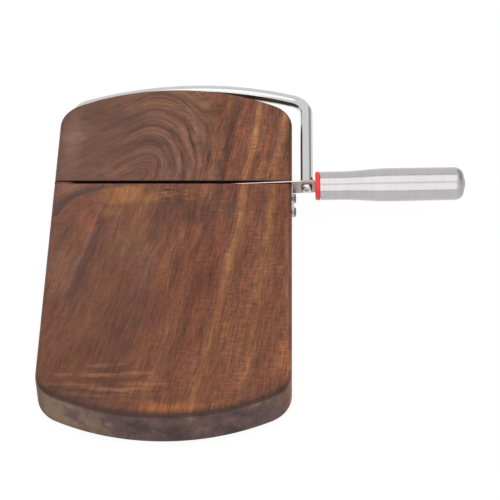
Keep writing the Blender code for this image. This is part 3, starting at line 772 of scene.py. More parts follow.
for *oval, colour, share in MARKS:
    marked = node(wood, MIX, RGBA, Factor=oval_share(*oval, share), A=marked, B=linear(colour))
print("marks:", len(MARKS))

# %% [markdown]
# Along the front edge the sanding has rounded the wood. In the middle a gold-coloured painted
# highlight lies along it, and towards both corners a painted shade darkens it. The last four
# millimetres get more painted shade all along, where the top turns down. This rim follows the
# arc of the end, so it is measured from the arc's centre, not along Y.

# %% The front rim
AT_FRONT = (y, -106, -120)
RIM_START, RIM_FULL = 134.8, 137.2

wavy = node(wood, VECTOR, MULTIPLY_ADD, i0=wander, i1=(8, 8, 0), i2=in_mm)
from_centre = flat_distance(wavy)
# Painted highlight in the middle of the front rim, painted shade at its corners and last mm.
golden_highlight = node(wood, RANGE, Value=clouds, i1=0.4, i2=0.6, i3=0.6, i4=0.9)
golden_highlight = fade(golden_highlight, (from_centre, 128, 134), (y, -115, -125), (x, -24, 0), (x, 52, 2))
left_end = node(wood, RANGE, SMOOTH, Value=x, i1=-20, i2=-38, i3=0, i4=0.95)
right_end = node(wood, RANGE, SMOOTH, Value=x, i1=14, i2=34, i3=0, i4=0.35)
corner_shade = node(wood, MATH, ADD, i0=left_end, i1=right_end)
corner_shade = fade(corner_shade, (from_centre, 125, 131), AT_FRONT)
rim = node(wood, RANGE, SMOOTH, Value=flat_distance(in_mm), i1=RIM_START, i2=RIM_FULL, i3=0,
           i4=0.5)
rim = fade(rim, AT_FRONT)
for share, colour in ((golden_highlight, "#b27244"), (corner_shade, "#614337"), (rim, "#4a3028")):
    marked = node(wood, MIX, RGBA, Factor=share, A=marked, B=linear(colour))
print("the rim is darkest from", RIM_FULL, "mm off the arc's centre")

# %% [markdown]
# Bands and fibres make the wood lighter and darker, most of all on the right. Clouds and mottle
# do the same in larger and smaller patches.

# %% Bands and fibres
CLOUD_CHANGE, MOTTLE_CHANGE = 0.16, 0.08

in_rear_half = node(wood, RANGE, SMOOTH, Value=y, i1=-30, i2=70, i3=0.5, i4=0.78)
band_light = node(wood, MATH, SUBTRACT, i0=bands, i1=0.5)
fibre_light = node(wood, MATH, SUBTRACT, i0=fibres, i1=0.5)
both = node(wood, MATH, MULTIPLY_ADD, i0=band_light, i1=in_rear_half, i2=fibre_light)
contrast = node(wood, RANGE, SMOOTH, Value=x, i1=-40, i2=25, i3=1.4, i4=2.0)
crisper = node(wood, MATH, MULTIPLY_ADD, i0=behind_slot, i1=0.25, i2=1)
for part in (crisper, calm):
    contrast = node(wood, MATH, MULTIPLY, i0=contrast, i1=part)
light = node(wood, MATH, MULTIPLY_ADD, i0=both, i1=contrast, i2=1)
for noise, change in ((clouds, CLOUD_CHANGE), (mottle, MOTTLE_CHANGE)):
    gain = node(wood, RANGE, Value=noise, i1=0.3, i2=0.7, i3=1 - change, i4=1 + change)
    light = node(wood, MATH, MULTIPLY, i0=light, i1=gain)
print("clouds change the light by", CLOUD_CHANGE, "and mottle by", MOTTLE_CHANGE)

# %% [markdown]
# The figure is fine all over the right half, coarse at the front left, and crisp around a small
# knot in front of the slot. The crests of the coarse figure shine paler.

# %% Figure
fine_share = node(wood, RANGE, SMOOTH, Value=x, i1=-30, i2=40, i3=0.35, i4=1.0)
patchy = node(wood, RANGE, Value=clouds, i1=0.38, i2=0.62, i3=0.4, i4=1.5)
fine_share = node(wood, MATH, MULTIPLY, i0=fine_share, i1=patchy)
at_front_left = oval_share(-34, -118, 40, 17, 1.0)
at_knot = oval_share(1, 41, 13, 6, 4.0)
for figure, amount in ((fine_figure, fine_share), (coarse_figure, at_front_left),
                       (knot_figure, at_knot)):
    wave = node(wood, MATH, SUBTRACT, i0=figure, i1=0.5)
    wave = node(wood, MATH, MULTIPLY, i0=wave, i1=level)
    gain = node(wood, MATH, MULTIPLY_ADD, i0=wave, i1=amount, i2=1)
    light = node(wood, MATH, MULTIPLY, i0=light, i1=gain)
crest = node(wood, RANGE, Value=coarse_figure, i1=0.5, i2=0.68)
less_in_corner_shade = node(wood, MATH, MULTIPLY_ADD, i0=corner_shade, i1=-0.6, i2=1)
for part in (at_front_left, level, less_in_corner_shade):
    crest = node(wood, MATH, MULTIPLY, i0=crest, i1=part)
gain = node(wood, MATH, MULTIPLY_ADD, i0=crest, i1=0.3, i2=1)
light = node(wood, MATH, MULTIPLY, i0=light, i1=gain)

grained = node(wood, VECTOR, SCALE, i0=marked, Scale=light)
pores = node(wood, RANGE, Value=pores, i1=0.62, i2=0.72)
for part, most, colour in ((crest, 0.35, "#a67f60"), (pores, 0.3, PORE)):
    share = node(wood, MATH, MULTIPLY, i0=part, i1=most)
    grained = node(wood, MIX, RGBA, Factor=share, A=grained, B=linear(colour))
print("figures: fine, coarse, knot")

# %% [markdown]
# On the two curved ends the saw cuts across the fibres. End grain drinks more oil, so it is
# darker and greyer, with fine dots and pale specks instead of lines, and a small reddish knot
# left of the middle.

# %% End grain
END_COLOURS = [(0.36, "#403233"), (0.5, "#574547"), (0.62, "#624e4d"), (0.78, "#7e6b5d")]
KNOT = (-31, -137, -12)

endwise = node(wood, MATH, ABSOLUTE, i0=facing.outputs["Y"])
end_share = node(wood, RANGE, SMOOTH, Value=endwise, i1=0.45, i2=0.85)
tan_share = node(wood, NOISE, Vector=in_mm, Scale=1 / 12, Detail=5, Roughness=0.6)
for start, end, least, most in ((-20, -62, -0.02, 0.29), (36, 62, 0, 0.11)):
    part = node(wood, RANGE, SMOOTH, Value=x, i1=start, i2=end, i3=least, i4=most)
    tan_share = node(wood, MATH, ADD, i0=tan_share, i1=part)
end_colour = node(wood, RAMP, {"stops": END_COLOURS}, Fac=tan_share)
specks = node(wood, NOISE, Vector=in_mm, Scale=1 / 1.6, Detail=3)
specks = node(wood, RANGE, Value=specks, i1=0.6, i2=0.72, i3=0, i4=0.55)
more_at_left = node(wood, RANGE, SMOOTH, Value=x, i1=10, i2=-30, i3=0.2, i4=1.0)
specks = node(wood, MATH, MULTIPLY, i0=specks, i1=more_at_left)
knot = node(wood, VECTOR, LENGTH, i0=node(wood, VECTOR, SUBTRACT, i0=in_mm, i1=KNOT))
knot = node(wood, RANGE, SMOOTH, Value=knot, i1=3.2, i2=0.8, i3=0, i4=0.7)
for share, colour in ((specks, "#93796a"), (knot, "#8c6a62")):
    end_colour = node(wood, MIX, RGBA, Factor=share, A=end_colour, B=linear(colour))
dots = node(wood, NOISE, Vector=in_mm, Scale=1 / 1.1, Detail=2)
dots = node(wood, RANGE, Value=dots, i1=0.3, i2=0.7, i3=0.84, i4=1.14)
end_colour = node(wood, VECTOR, SCALE, i0=end_colour, Scale=dots)
wood_colour = node(wood, MIX, RGBA, Factor=end_share, A=grained, B=end_colour)
print("end grain colours:", len(END_COLOURS))

# %% [markdown]
# The slot's walls are end grain too. Inside the narrow slot they get a painted shade, nearly
# black, and the key at its left end gets painted shade towards its slanted end, where it sinks
# into the slot. A dark line lies on the rounded edge round the top, strongest at the ends. The
# place of a point and the way that it faces tell where each of them is.

# %% Painted shade in the slot, and a dark line along the edge
SLOT_AT = 52

spot = node(wood, SPLIT, Vector=in_mm)
height = spot.outputs["Z"]
from_slot = node(wood, MATH, SUBTRACT, i0=spot.outputs["Y"], i1=SLOT_AT)
from_slot = node(wood, MATH, ABSOLUTE, i0=from_slot)
# Painted shade: the slot's walls and the key's slanted end go nearly black.
slot_shade = fade(end_share, (from_slot, 1.9, 1.6), (height, -0.1, -0.7), shape=LINEAR)
key_shade = node(wood, RANGE, SMOOTH, Value=spot.outputs["X"], i1=-69.5, i2=-62.5, i3=0, i4=0.85)
key_shade = fade(key_shade, (from_slot, 1.45, 1.3), (height, -0.05, -0.2), (height, -14.6, -14.1),
               shape=LINEAR)
upward = facing.outputs["Z"]
edge_line = node(wood, RANGE, SMOOTH, Value=upward, i1=0.1, i2=0.5, i3=0, i4=0.7)
edge_line = fade(edge_line, (upward, 0.996, 0.93))
more_at_ends = node(wood, RANGE, SMOOTH, Value=endwise, i1=0.1, i2=0.4, i3=0.3, i4=1.0)
edge_line = node(wood, MATH, MULTIPLY, i0=edge_line, i1=more_at_ends)
for share, colour in ((slot_shade, "#160a07"), (key_shade, "#1c0d09"), (edge_line, "#3c2620")):
    wood_colour = node(wood, MIX, RGBA, Factor=share, A=wood_colour, B=linear(colour))
print("the slot lies at y", SLOT_AT, "mm")

# %% [markdown]
# The oil fills the fibres, so the finish is satin and even. Its gloss is kept low, because the
# oil has sunk in and leaves no film on top.

# %% Finish the wood
OIL_TINT = (1.08, 0.965, 0.865)

wood_colour = node(wood, VECTOR, MULTIPLY, i0=wood_colour, i1=OIL_TINT)
rough = node(wood, RANGE, Value=fibres, i1=0.3, i2=0.7, i3=0.62, i4=0.48)
relief = node(wood, MATH, SUBTRACT, i0=fibres, i1=pores)
surface_finish(wood, wood_colour, rough, relief, 0.4, 0.08, Specular_IOR_Level=0.25)
print("nodes in the wood:", len(wood.nodes))

# %% [markdown]
# ## Steels
# All steel parts but the small screws are 18/8 stainless, which is a little darker and warmer than
# chrome. What sets steels apart is how their surfaces were made, so one function builds them: a
# colour, a range of roughness, and fine lines along one direction. The lines are noise squeezed
# across that direction. Cloudy noise adds the unevenness that wiping and handling leave.

# %% A steel finish


def steel(name, colour, smooth, rough, line_scale, line_depth, tint, shaded_rough_end=None):
    """Steel with lines. The scale is the pattern's size in mm along X, Y and Z, the depth is in
    mm, and the tint is how much lighter or darker a line can be. A shaded end is given by where
    along X it starts and is full, by how much painted shade darkens it there, and by how much
    rougher it is there."""
    material, tree = new_material(name)
    spot = in_millimetres(tree)
    lines = node(tree, VECTOR, MULTIPLY, i0=spot, i1=[1 / side for side in line_scale])
    lines = node(tree, NOISE, Vector=lines, Scale=1, Detail=2, Roughness=0.6)
    wiped = node(tree, NOISE, Vector=spot, Scale=1 / 9, Detail=3)
    shade = node(tree, RANGE, Value=lines, i1=0.3, i2=0.7, i3=1 - tint, i4=1 + tint)
    cloudy = node(tree, RANGE, Value=wiped, i1=0.3, i2=0.7, i3=0.97, i4=1.03)
    shade = node(tree, MATH, MULTIPLY, i0=shade, i1=cloudy)
    mixed = node(tree, MIX, Factor=0.5, A=lines, B=wiped)
    roughness = node(tree, RANGE, Value=mixed, i1=0.35, i2=0.65, i3=smooth, i4=rough)
    if shaded_rough_end:
        # Painted shade darkens the tail's end; the same share makes it rougher.
        start, full, darker, rougher = shaded_rough_end
        end = node(tree, RANGE, SMOOTH, Value=node(tree, SPLIT, Vector=spot), i1=start, i2=full)
        dim = node(tree, MATH, MULTIPLY_ADD, i0=end, i1=-darker, i2=1)
        shade = node(tree, MATH, MULTIPLY, i0=shade, i1=dim)
        roughness = node(tree, MATH, MULTIPLY_ADD, i0=end, i1=rougher, i2=roughness)
    colour = node(tree, VECTOR, SCALE, i0=linear(colour)[:3], Scale=shade)
    surface_finish(tree, colour, roughness, lines, 0.5, line_depth, Metallic=1.0)
    return material


print("a steel is a colour, a roughness and lines")

# %% [markdown]
# - Polished steel: the rod, the clamp screw and the wire's bead are drawn or turned, then tumbled
#   bright. They mirror the room sharply, with faint streaks along the rod's length.
# - Brushed steel: the handle is turned on a lathe against an abrasive belt, so its lines run
#   round it. Real ones are a twentieth of a millimetre apart, these half a millimetre, so that
#   they show. The belt hardly reaches the rounded tail, which stays duller, and a painted shade
#   darkens it.
# - Satin steel: the strip, the plate and the pin are cut from rolled stock, dull, with lines along
#   its length.
# - Drawn wire: pulled through a die, which leaves it brighter and less sharp than the rod.
# - Zinc-plated steel: the small screws, darker and greyer than stainless, with a fine crystal
#   grain.

# %% The five steels
TAIL_SHADE_AND_ROUGHNESS = (177.5, 182, 0.17, 0.2)

polished_steel = steel("polished stainless steel", "#cacaca", 0.07, 0.15, (3, 6, 3), 0.002, 0.02)
brushed_steel = steel("brushed stainless steel", "#b9b5b6", 0.17, 0.21, (0.5, 30, 30), 0.002,
                      0.025, TAIL_SHADE_AND_ROUGHNESS)
satin_steel = steel("satin stainless steel", "#b8aca9", 0.36, 0.5, (9, 9, 0.5), 0.003, 0.06)
drawn_steel = steel("drawn stainless wire", "#d9cac0", 0.28, 0.4, (5, 0.3, 0.3), 0.002, 0.03)
zinc_steel = steel("zinc-plated steel", "#6a6460", 0.2, 0.36, (0.8, 0.8, 0.8), 0.004, 0.1)
print("steels:", ", ".join(made.name for made in (
    polished_steel, brushed_steel, satin_steel, drawn_steel, zinc_steel)))

# %% [markdown]
# ## Plastics and rubber
# These are moulded. A mould's skin is never quite smooth, so each gets a fine pebbled bump, a
# slightly uneven gloss and a slightly uneven colour.
#
# - Red ABS: the collar, satin from an eroded mould.
# - Black rubber: the feet, matt, with a greyish bloom.
# - Grey nylon: the hidden core, waxy.

# %% A moulded finish


def moulded(name, colour, bloom, smooth, rough, pebble, depth):
    """A moulded finish: a colour with a bloom on it, and pebbles of a size and depth in mm."""
    material, tree = new_material(name)
    spot = in_millimetres(tree)
    pebbles = node(tree, NOISE, Vector=spot, Scale=1 / pebble, Detail=2)
    cloud = node(tree, NOISE, Vector=spot, Scale=1 / 5, Detail=3)
    share = node(tree, RANGE, Value=cloud, i1=0.4, i2=0.7, i3=0, i4=0.5)
    colour = node(tree, MIX, RGBA, Factor=share, A=linear(colour), B=linear(bloom))
    roughness = node(tree, RANGE, Value=cloud, i1=0.35, i2=0.65, i3=smooth, i4=rough)
    surface_finish(tree, colour, roughness, pebbles, 0.6, depth)
    return material


red_abs = moulded("red ABS", "#ff3638", "#f84244", 0.35, 0.45, 0.6, 0.01)
black_rubber = moulded("black rubber", "#1b1b1b", "#303030", 0.7, 0.85, 0.7, 0.04)
grey_nylon = moulded("grey nylon", "#6c6c6c", "#7a7a7a", 0.45, 0.6, 1.0, 0.02)
print("moulded:", red_abs.name, black_rubber.name, grey_nylon.name, sep=" | ")

# %% [markdown]
# ## The board
# The board is a plank of acacia, 150 by 280 by 25 mm, sawn to arched ends, with its corners and
# edges rounded. All four quarters of the outline are alike, so one quarter is drawn: a vertex is
# extruded along the straight side and spun round the corner and along the end. A Mirror modifier
# makes the rest.

# %% Draw the outline
BOARD_WIDTH = 150 * MM
BOARD_LENGTH = 280 * MM
BOARD_THICKNESS = 25 * MM
END_RADIUS = 140 * MM
CORNER_RADIUS = 21 * MM
NEAR = 0.01 * MM

side_x = BOARD_WIDTH / 2
end_centre_y = BOARD_LENGTH / 2 - END_RADIUS
corner_x = side_x - CORNER_RADIUS
corner_y = end_centre_y + math.sqrt((END_RADIUS - CORNER_RADIUS) ** 2 - corner_x ** 2)
corner_turn = math.degrees(math.atan2(corner_y - end_centre_y, corner_x))

board = start_point("acacia_board", (side_x, 0, -BOARD_THICKNESS))
draw_on((0, corner_y, 0))
spin((corner_x, corner_y, -BOARD_THICKNESS), (0, 0, 1), corner_turn, 14)
spin((0, end_centre_y, -BOARD_THICKNESS), (0, 0, 1), 90 - corner_turn, 18)
bpy.ops.object.mode_set(mode="OBJECT")
quarters = board.modifiers.new("quarters", "MIRROR")
quarters.use_axis = (True, True, False)
quarters.merge_threshold = NEAR
bpy.ops.object.modifier_apply(modifier=quarters.name)
print("a corner turns", round(corner_turn, 1), "degrees")
print("the outline has", len(board.data.vertices), "points")

# %% Give it thickness and round its edges
EDGE_ROUND = 3 * MM

bpy.ops.object.mode_set(mode="EDIT")
bpy.ops.mesh.select_all(action="SELECT")
bpy.ops.mesh.remove_doubles(threshold=NEAR)
bpy.ops.mesh.edge_face_add()
draw_on((0, 0, BOARD_THICKNESS))
rims = pick("EDGE", lambda place, run: abs(run.z) < 0.01)
round_off(EDGE_ROUND, 6)
print("rounded", rims, "edges")

# %% [markdown]
# The slot is cut with a saw, 2.6 mm wide and 14 mm deep, and its mouth is eased with sandpaper.
# The cutter is a box whose upper part is extruded wider, so one boolean cuts slot and easing.
# Then the axle's hole is drilled forward from the rear end, and the small pilot holes.

# %% Cut the slot
SLOT_Y = 52 * MM
SLOT_WIDTH = 2.6 * MM
SLOT_DEPTH = 14 * MM
SLOT_EASING = 0.3 * MM
OVER = 5 * MM

saw = box_piece("saw", (-side_x - OVER, SLOT_Y - SLOT_WIDTH / 2, -SLOT_DEPTH),
                (side_x + OVER, SLOT_Y + SLOT_WIDTH / 2, -SLOT_EASING))
pick("FACE", lambda place, direction: direction.z > 0.9)
draw_on((0, 0, 2 * SLOT_EASING))
bpy.ops.transform.resize(value=(1, 1 + 4 * SLOT_EASING / SLOT_WIDTH, 1),
                         center_override=(0, SLOT_Y, 0))
draw_on((0, 0, OVER))
carve(board, saw)
print("slot depth in mm:", SLOT_DEPTH / MM)

# %% Drill the axle's bore and the pilot holes
AXLE_X = -65.5 * MM
AXLE_Z = -12.5 * MM
ROD_RADIUS = 4 * MM
BORE_GAP = 0.4 * MM
AXLE_PAST_SLOT = 8 * MM
SEAT_GAP = 0.3 * MM
FOOT_PLACES = [(x * MM, y * MM) for x in (-55, 55) for y in (-98, 98)]
PILOT_RADIUS = 1.7 * MM
PILOT_DEPTH = 7.5 * MM
SIDE_BIT_LENGTH = 40 * MM
ALONG_X, ALONG_Y = (0, math.pi / 2, 0), (math.pi / 2, 0, 0)

bore_start = SLOT_Y - AXLE_PAST_SLOT - SEAT_GAP
bore_end = BOARD_LENGTH / 2 + OVER
drill(board, ROD_RADIUS + BORE_GAP, (AXLE_X, (bore_start + bore_end) / 2, AXLE_Z),
      bore_end - bore_start, ALONG_Y, 48)
for foot_x, foot_y in FOOT_PLACES:
    drill(board, PILOT_RADIUS, (foot_x, foot_y, -BOARD_THICKNESS), 2 * PILOT_DEPTH)
for screw_node in ("plate_screw_front", "plate_screw_rear"):
    low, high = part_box(screw_node)
    middle = (low + high) / 2
    drill(board, PILOT_RADIUS, (low.x - SEAT_GAP + SIDE_BIT_LENGTH / 2, middle.y, middle.z),
          SIDE_BIT_LENGTH, ALONG_X)
finish_piece(board, ["board"], "base", oiled_acacia)

# %% [markdown]
# ## The slot's key
# A small wedge of the same wood fills the slot's left end, a little below the surface. It covers
# the axle, and its slanted end stops the raised wire.

# %% Model the key
BOW_TILT = math.radians(3.25)
BOW_LIFT = math.radians(45)
KEY_EDGE = 0.15 * MM

key_low, key_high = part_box("slot_key")
key = box_piece("slot_key_wedge", key_low, key_high)
key_middle = (key_low + key_high) / 2
pick("VERT", lambda place, direction: place.x > key_middle.x and place.z < key_middle.z)
slant = (key_high.z - key_low.z) / math.tan(BOW_TILT + BOW_LIFT)
bpy.ops.transform.translate(value=(-slant, 0, 0))
select_all("EDGE")
round_off(KEY_EDGE, 2)
finish_piece(key, ["slot_key"], "base", oiled_acacia)

# %% [markdown]
# ## The bow
# One steel rod, 8 mm thick, is bent three times: the axle's leg lies in the board, a long shallow
# arc runs round the rear end, and the right leg comes forward to the handle. A circle is extruded
# along the straight parts and spun round the bends. It is modelled lying flat with the axle at
# the origin, then tilted by the small angle at which the bow rests, and moved to the axle.

# %% Where the bends are
AXLE_BEND = 9 * MM
ARC_RADIUS = 197 * MM
ARC_OFFSET = 3 * MM
HANDLE_BEND = 14 * MM
REAR_GAP = 2 * MM
SIDE_GAP = 5.4 * MM
STRIP_THICKNESS = 1.5 * MM

bow_span = (side_x + SIDE_GAP + ROD_RADIUS - AXLE_X) / math.cos(BOW_TILT)
arc_s = (ARC_OFFSET - AXLE_X) / math.cos(BOW_TILT)
arc_reach = ARC_RADIUS - ROD_RADIUS - END_RADIUS - REAR_GAP
arc_y = end_centre_y - math.sqrt(arc_reach ** 2 - ARC_OFFSET ** 2) - SLOT_Y


def bend_centre(s, radius):
    """Centre of a bend that runs into the long arc from inside."""
    inner = ARC_RADIUS - radius
    return Vector((s, arc_y + math.sqrt(inner ** 2 - (s - arc_s) ** 2), 0))


arc_centre = Vector((arc_s, arc_y, 0))
left_centre = bend_centre(AXLE_BEND, AXLE_BEND)
right_centre = bend_centre(bow_span - HANDLE_BEND, HANDLE_BEND)
left_angle = math.degrees(math.atan2(left_centre.y - arc_y, left_centre.x - arc_s))
right_angle = math.degrees(math.atan2(right_centre.y - arc_y, right_centre.x - arc_s))
BOW_FRAME = Matrix.Translation((AXLE_X, SLOT_Y, AXLE_Z)) @ Matrix.Rotation(-BOW_TILT, 4, "Y")
bends = (180 - left_angle, left_angle - right_angle, right_angle)
print("bends turn", *(round(bend, 1) for bend in bends), "degrees")

# %% Bend the rod
ROD_CHAMFER = 0.6 * MM

rod = start_disc("bent_rod", 40, ROD_RADIUS, (0, -AXLE_PAST_SLOT, 0), ALONG_Y)
draw_on((0, AXLE_PAST_SLOT + left_centre.y, 0))
for centre, bend, steps in zip((left_centre, arc_centre, right_centre), bends, (14, 64, 24)):
    spin(centre, (0, 0, -1), bend, steps)
rod_end_y = STRIP_THICKNESS / 2 + SEAT_GAP
draw_on((0, rod_end_y - right_centre.y, 0))


def on_rod_end(place, run):
    """True for the rims of the rod's two end faces."""
    blind_end = place.y < -AXLE_PAST_SLOT + NEAR
    strip_end = place.y < rod_end_y + NEAR and place.x > bow_span / 2
    return abs(run.y) < 0.01 and (blind_end or strip_end)


pick("EDGE", on_rod_end)
round_off(ROD_CHAMFER, 4)
print("rod faces:", len(rod.data.polygons))

# %% [markdown]
# The rod is cross-drilled for the wire, with a wider seat below for the bead on the wire's end,
# and tapped at its front end for the screw.

# %% Drill the rod
WIRE_RADIUS = 0.45 * MM
BEAD_RADIUS = 1.1 * MM
BEAD_LENGTH = 1.6 * MM
SCREW_RADIUS = 2 * MM
SCREW_LENGTH = 11 * MM

drill(rod, WIRE_RADIUS + SEAT_GAP, (0, 0, 0), 4 * ROD_RADIUS)
drill(rod, BEAD_RADIUS + SEAT_GAP, (0, 0, -2 * ROD_RADIUS + BEAD_LENGTH + 2 * SEAT_GAP),
      2 * ROD_RADIUS)
drill(rod, SCREW_RADIUS + SEAT_GAP, (bow_span, 0, 0), 2 * SCREW_LENGTH, ALONG_Y)
place_in(rod, BOW_FRAME)
finish_piece(rod, ["bow_rod"], "bow", polished_steel)

# %% [markdown]
# ## The cutting wire
# A stainless wire 0.9 mm thick. It comes up out of the axle, bends over and runs in the slot to
# the strip, where it lies in a notch. It is made the way the rod was.

# %% Bend the wire
WIRE_BEND = 1.1 * MM
WIRE_GAP = 0.25 * MM
STRIP_HALF_HEIGHT = 5 * MM
STRIP_SIDE_GAP = 0.4 * MM
STRIP_NOTCH = 5 * MM

wire_height = ROD_RADIUS + WIRE_RADIUS + WIRE_GAP
strip_left = ((side_x + STRIP_SIDE_GAP - AXLE_X) / math.cos(BOW_TILT)
              + STRIP_HALF_HEIGHT * math.tan(BOW_TILT))
wire_start = -ROD_RADIUS + SEAT_GAP + 0.4 * BEAD_LENGTH
bend_z = wire_height - WIRE_BEND
wire = start_disc("slicing_wire", 20, WIRE_RADIUS, (0, 0, wire_start))
draw_on((0, 0, bend_z - wire_start))
spin((WIRE_BEND, 0, bend_z), (0, 1, 0), 90, 10)
draw_on((strip_left + STRIP_NOTCH - SEAT_GAP - WIRE_BEND, 0, 0))
place_in(wire, BOW_FRAME)
finish_piece(wire, ["cutting_wire"], "bow", drawn_steel)

# %% [markdown]
# ## The strip
# A flat bar of 1.5 by 10 mm joins rod, wire and handle. Its left end has a notch for the wire,
# a screw clamps it to the rod, and behind the collar it narrows to a tang. Its outline is drawn
# corner by corner and extruded. The left end is cut parallel to the board's side. The edges are
# tumbled smooth, which a small bevel shows.

# %% Model the strip
COLLAR_FROM_SCREW = 5.35 * MM
TANG_HALF_HEIGHT = 3.25 * MM
TANG_LENGTH = 22 * MM
HANDLE_DROOP = math.radians(1.8)
PIN_RADIUS = 1.5 * MM
PIN_FROM_COLLAR = 15 * MM
END_AT_NOTCH, END_AT_FOOT = 0.3 * MM, 0.65 * MM
STRIP_EDGE = 0.18 * MM

collar_s = bow_span + COLLAR_FROM_SCREW
IN_BOW = Matrix.Translation((collar_s, 0, 0)) @ Matrix.Rotation(HANDLE_DROOP, 4, "Y")
half = STRIP_THICKNESS / 2
shoulder = collar_s - SEAT_GAP
tang_run = TANG_LENGTH + SEAT_GAP
drop = tang_run * math.tan(HANDLE_DROOP)
top, tang_top = STRIP_HALF_HEIGHT, TANG_HALF_HEIGHT
notch_z = wire_height - WIRE_RADIUS - WIRE_GAP
strip = draw_outline("wire_strip", [
    (s, -half, height) for s, height in (
        (strip_left - END_AT_NOTCH, notch_z), (strip_left - END_AT_FOOT, -top), (shoulder, -top),
        (shoulder, -tang_top), (shoulder + tang_run, -tang_top - drop),
        (shoulder + tang_run, tang_top - drop), (shoulder, tang_top), (shoulder, top),
        (strip_left + STRIP_NOTCH, top), (strip_left + STRIP_NOTCH, notch_z))])
draw_on((0, STRIP_THICKNESS, 0))
select_all("EDGE")
face_outwards()
bpy.ops.mesh.edges_select_sharp(sharpness=math.radians(40))
round_off(STRIP_EDGE, 3)
through = 4 * STRIP_THICKNESS
drill(strip, SCREW_RADIUS + SEAT_GAP, (bow_span, 0, 0), through, ALONG_Y, 32)
drill(strip, PIN_RADIUS + SEAT_GAP, IN_BOW @ Vector((PIN_FROM_COLLAR, 0, 0)), through, ALONG_Y)
place_in(strip, BOW_FRAME)
finish_piece(strip, ["handle_strip"], "bow", satin_steel)

# %% [markdown]
# ## Screws
# All seven screws are pan heads with a cross recess, in three sizes, so one function turns them:
# rings are extruded and scaled from the top of the dome down to the tip. The recess is a
# cross-shaped punch that tapers downwards.

# %% A pan-head screw
RECESS_TURN = math.radians(10)
RECESS_TAPER = (0.45, 0.6, 1)


def pan_screw(name, radius, head_radius, head_height, length, matrix, vertices=48):
    """A pan-head screw whose head stands on z 0 of the matrix."""
    rim = 0.25 * head_height
    crown = [(head_radius * math.sin(angle) ** 0.8,
              rim + (head_height - rim) * math.cos(angle) ** 0.6)
             for angle in (math.radians(7.5 * step) for step in range(12))]
    tip = 1.2 * radius
    sides = [(head_radius, rim), (head_radius, 0.04 * head_radius), (0.96 * head_radius, 0),
             (radius, 0), (radius, -length + tip), (0.44 * radius, -length), (0, -length)]
    screw = turned(name, crown + sides, vertices)
    arm = 0.62 * head_radius
    blade = 0.17 * head_radius
    depth = 0.6 * head_height
    for turn in (0, math.pi / 2):
        punch = box_piece("punch", (-arm, -blade, head_height - depth),
                          (arm, blade, head_height + depth))
        pick("FACE", lambda place, direction: direction.z < -0.9)
        bpy.ops.transform.resize(value=RECESS_TAPER,
                                 center_override=(0, 0, head_height - depth))
        place_in(punch, Matrix.Rotation(turn + RECESS_TURN, 4, "Z"))
        carve(screw, punch)
    place_in(screw, matrix)
    return screw


FACING_FRONT = Matrix.Rotation(math.pi / 2, 4, "X")
strip_screw = pan_screw("clamp_screw", SCREW_RADIUS, 3.5 * MM, 2.4 * MM, SCREW_LENGTH,
                        BOW_FRAME @ Matrix.Translation((bow_span, -half - SEAT_GAP, 0))
                        @ FACING_FRONT, 64)
finish_piece(strip_screw, ["strip_screw"], "bow", polished_steel)

# %% [markdown]
# ## The handle
# The handle is a deep-drawn steel tube, closed and rounded at its tail, that slips over a red
# plastic collar. Its outline is a gentle S from the neck to the belly, then a straight run and a
# rounded corner. The rings are extruded along that outline, and Solidify gives the wall.

# %% The collar
COLLAR_THICKNESS = 2.9 * MM
COLLAR_SPIGOT = 3 * MM
NECK_RADIUS = 9 * MM
SHELL_WALL = 0.9 * MM
CHAMFER = 0.7 * MM
EASE = 0.12 * MM
Z_TO_X = Matrix.Rotation(math.pi / 2, 4, "Y")
ALONG_HANDLE = BOW_FRAME @ IN_BOW @ Z_TO_X

spigot_radius = NECK_RADIUS - SHELL_WALL - SEAT_GAP
collar_end = COLLAR_THICKNESS + COLLAR_SPIGOT
collar = turned("red_collar", [
    (NECK_RADIUS - CHAMFER - EASE, 0), (NECK_RADIUS - CHAMFER, 0.3 * EASE),
    (NECK_RADIUS - EASE, CHAMFER - EASE), (NECK_RADIUS, CHAMFER + EASE),
    (NECK_RADIUS, COLLAR_THICKNESS - EASE), (NECK_RADIUS - EASE, COLLAR_THICKNESS),
    (spigot_radius, COLLAR_THICKNESS), (spigot_radius, collar_end - EASE),
    (spigot_radius - EASE, collar_end)], 96)
slot_half = STRIP_THICKNESS / 2 + SEAT_GAP
slot_height = TANG_HALF_HEIGHT + SEAT_GAP
carve(collar, box_piece("tang hole", (-slot_height, -slot_half, -MM),
                        (slot_height, slot_half, collar_end + MM)))
place_in(collar, ALONG_HANDLE)
finish_piece(collar, ["handle_collar"], "bow", red_abs)

# %% The hollow handle
BODY_RADIUS = 10.55 * MM
TAIL_RADIUS = 10.4 * MM
HANDLE_LENGTH = 91.5 * MM
FLARE_START = 13 * MM
FLARE_LENGTH = 30 * MM
TAIL_CORNER = 6 * MM
TAIL_DOME = 1 * MM
FLARE_STEPS, CORNER_STEPS = 24, 14

tail = HANDLE_LENGTH - TAIL_DOME - TAIL_CORNER
belly = FLARE_START + FLARE_LENGTH
outline = [(NECK_RADIUS, 0), (NECK_RADIUS, FLARE_START / 2)]
for step in range(FLARE_STEPS + 1):
    share = step / FLARE_STEPS
    rise = share * share * (3 - 2 * share)
    outline.append((NECK_RADIUS + (BODY_RADIUS - NECK_RADIUS) * rise,
                    FLARE_START + FLARE_LENGTH * share))
for share in (0.25, 0.5, 0.75):
    outline.append((BODY_RADIUS + (TAIL_RADIUS - BODY_RADIUS) * share,
                    belly + (tail - belly) * share))
for step in range(CORNER_STEPS + 1):
    angle = math.radians(90 * step / CORNER_STEPS)
    outline.append((TAIL_RADIUS - TAIL_CORNER + TAIL_CORNER * math.cos(angle),
                    tail + TAIL_CORNER * math.sin(angle)))
flat = TAIL_RADIUS - TAIL_CORNER
for share in (0.7, 0.4, 0.15, 0):
    outline.append((flat * share, HANDLE_LENGTH - TAIL_DOME * share * share))

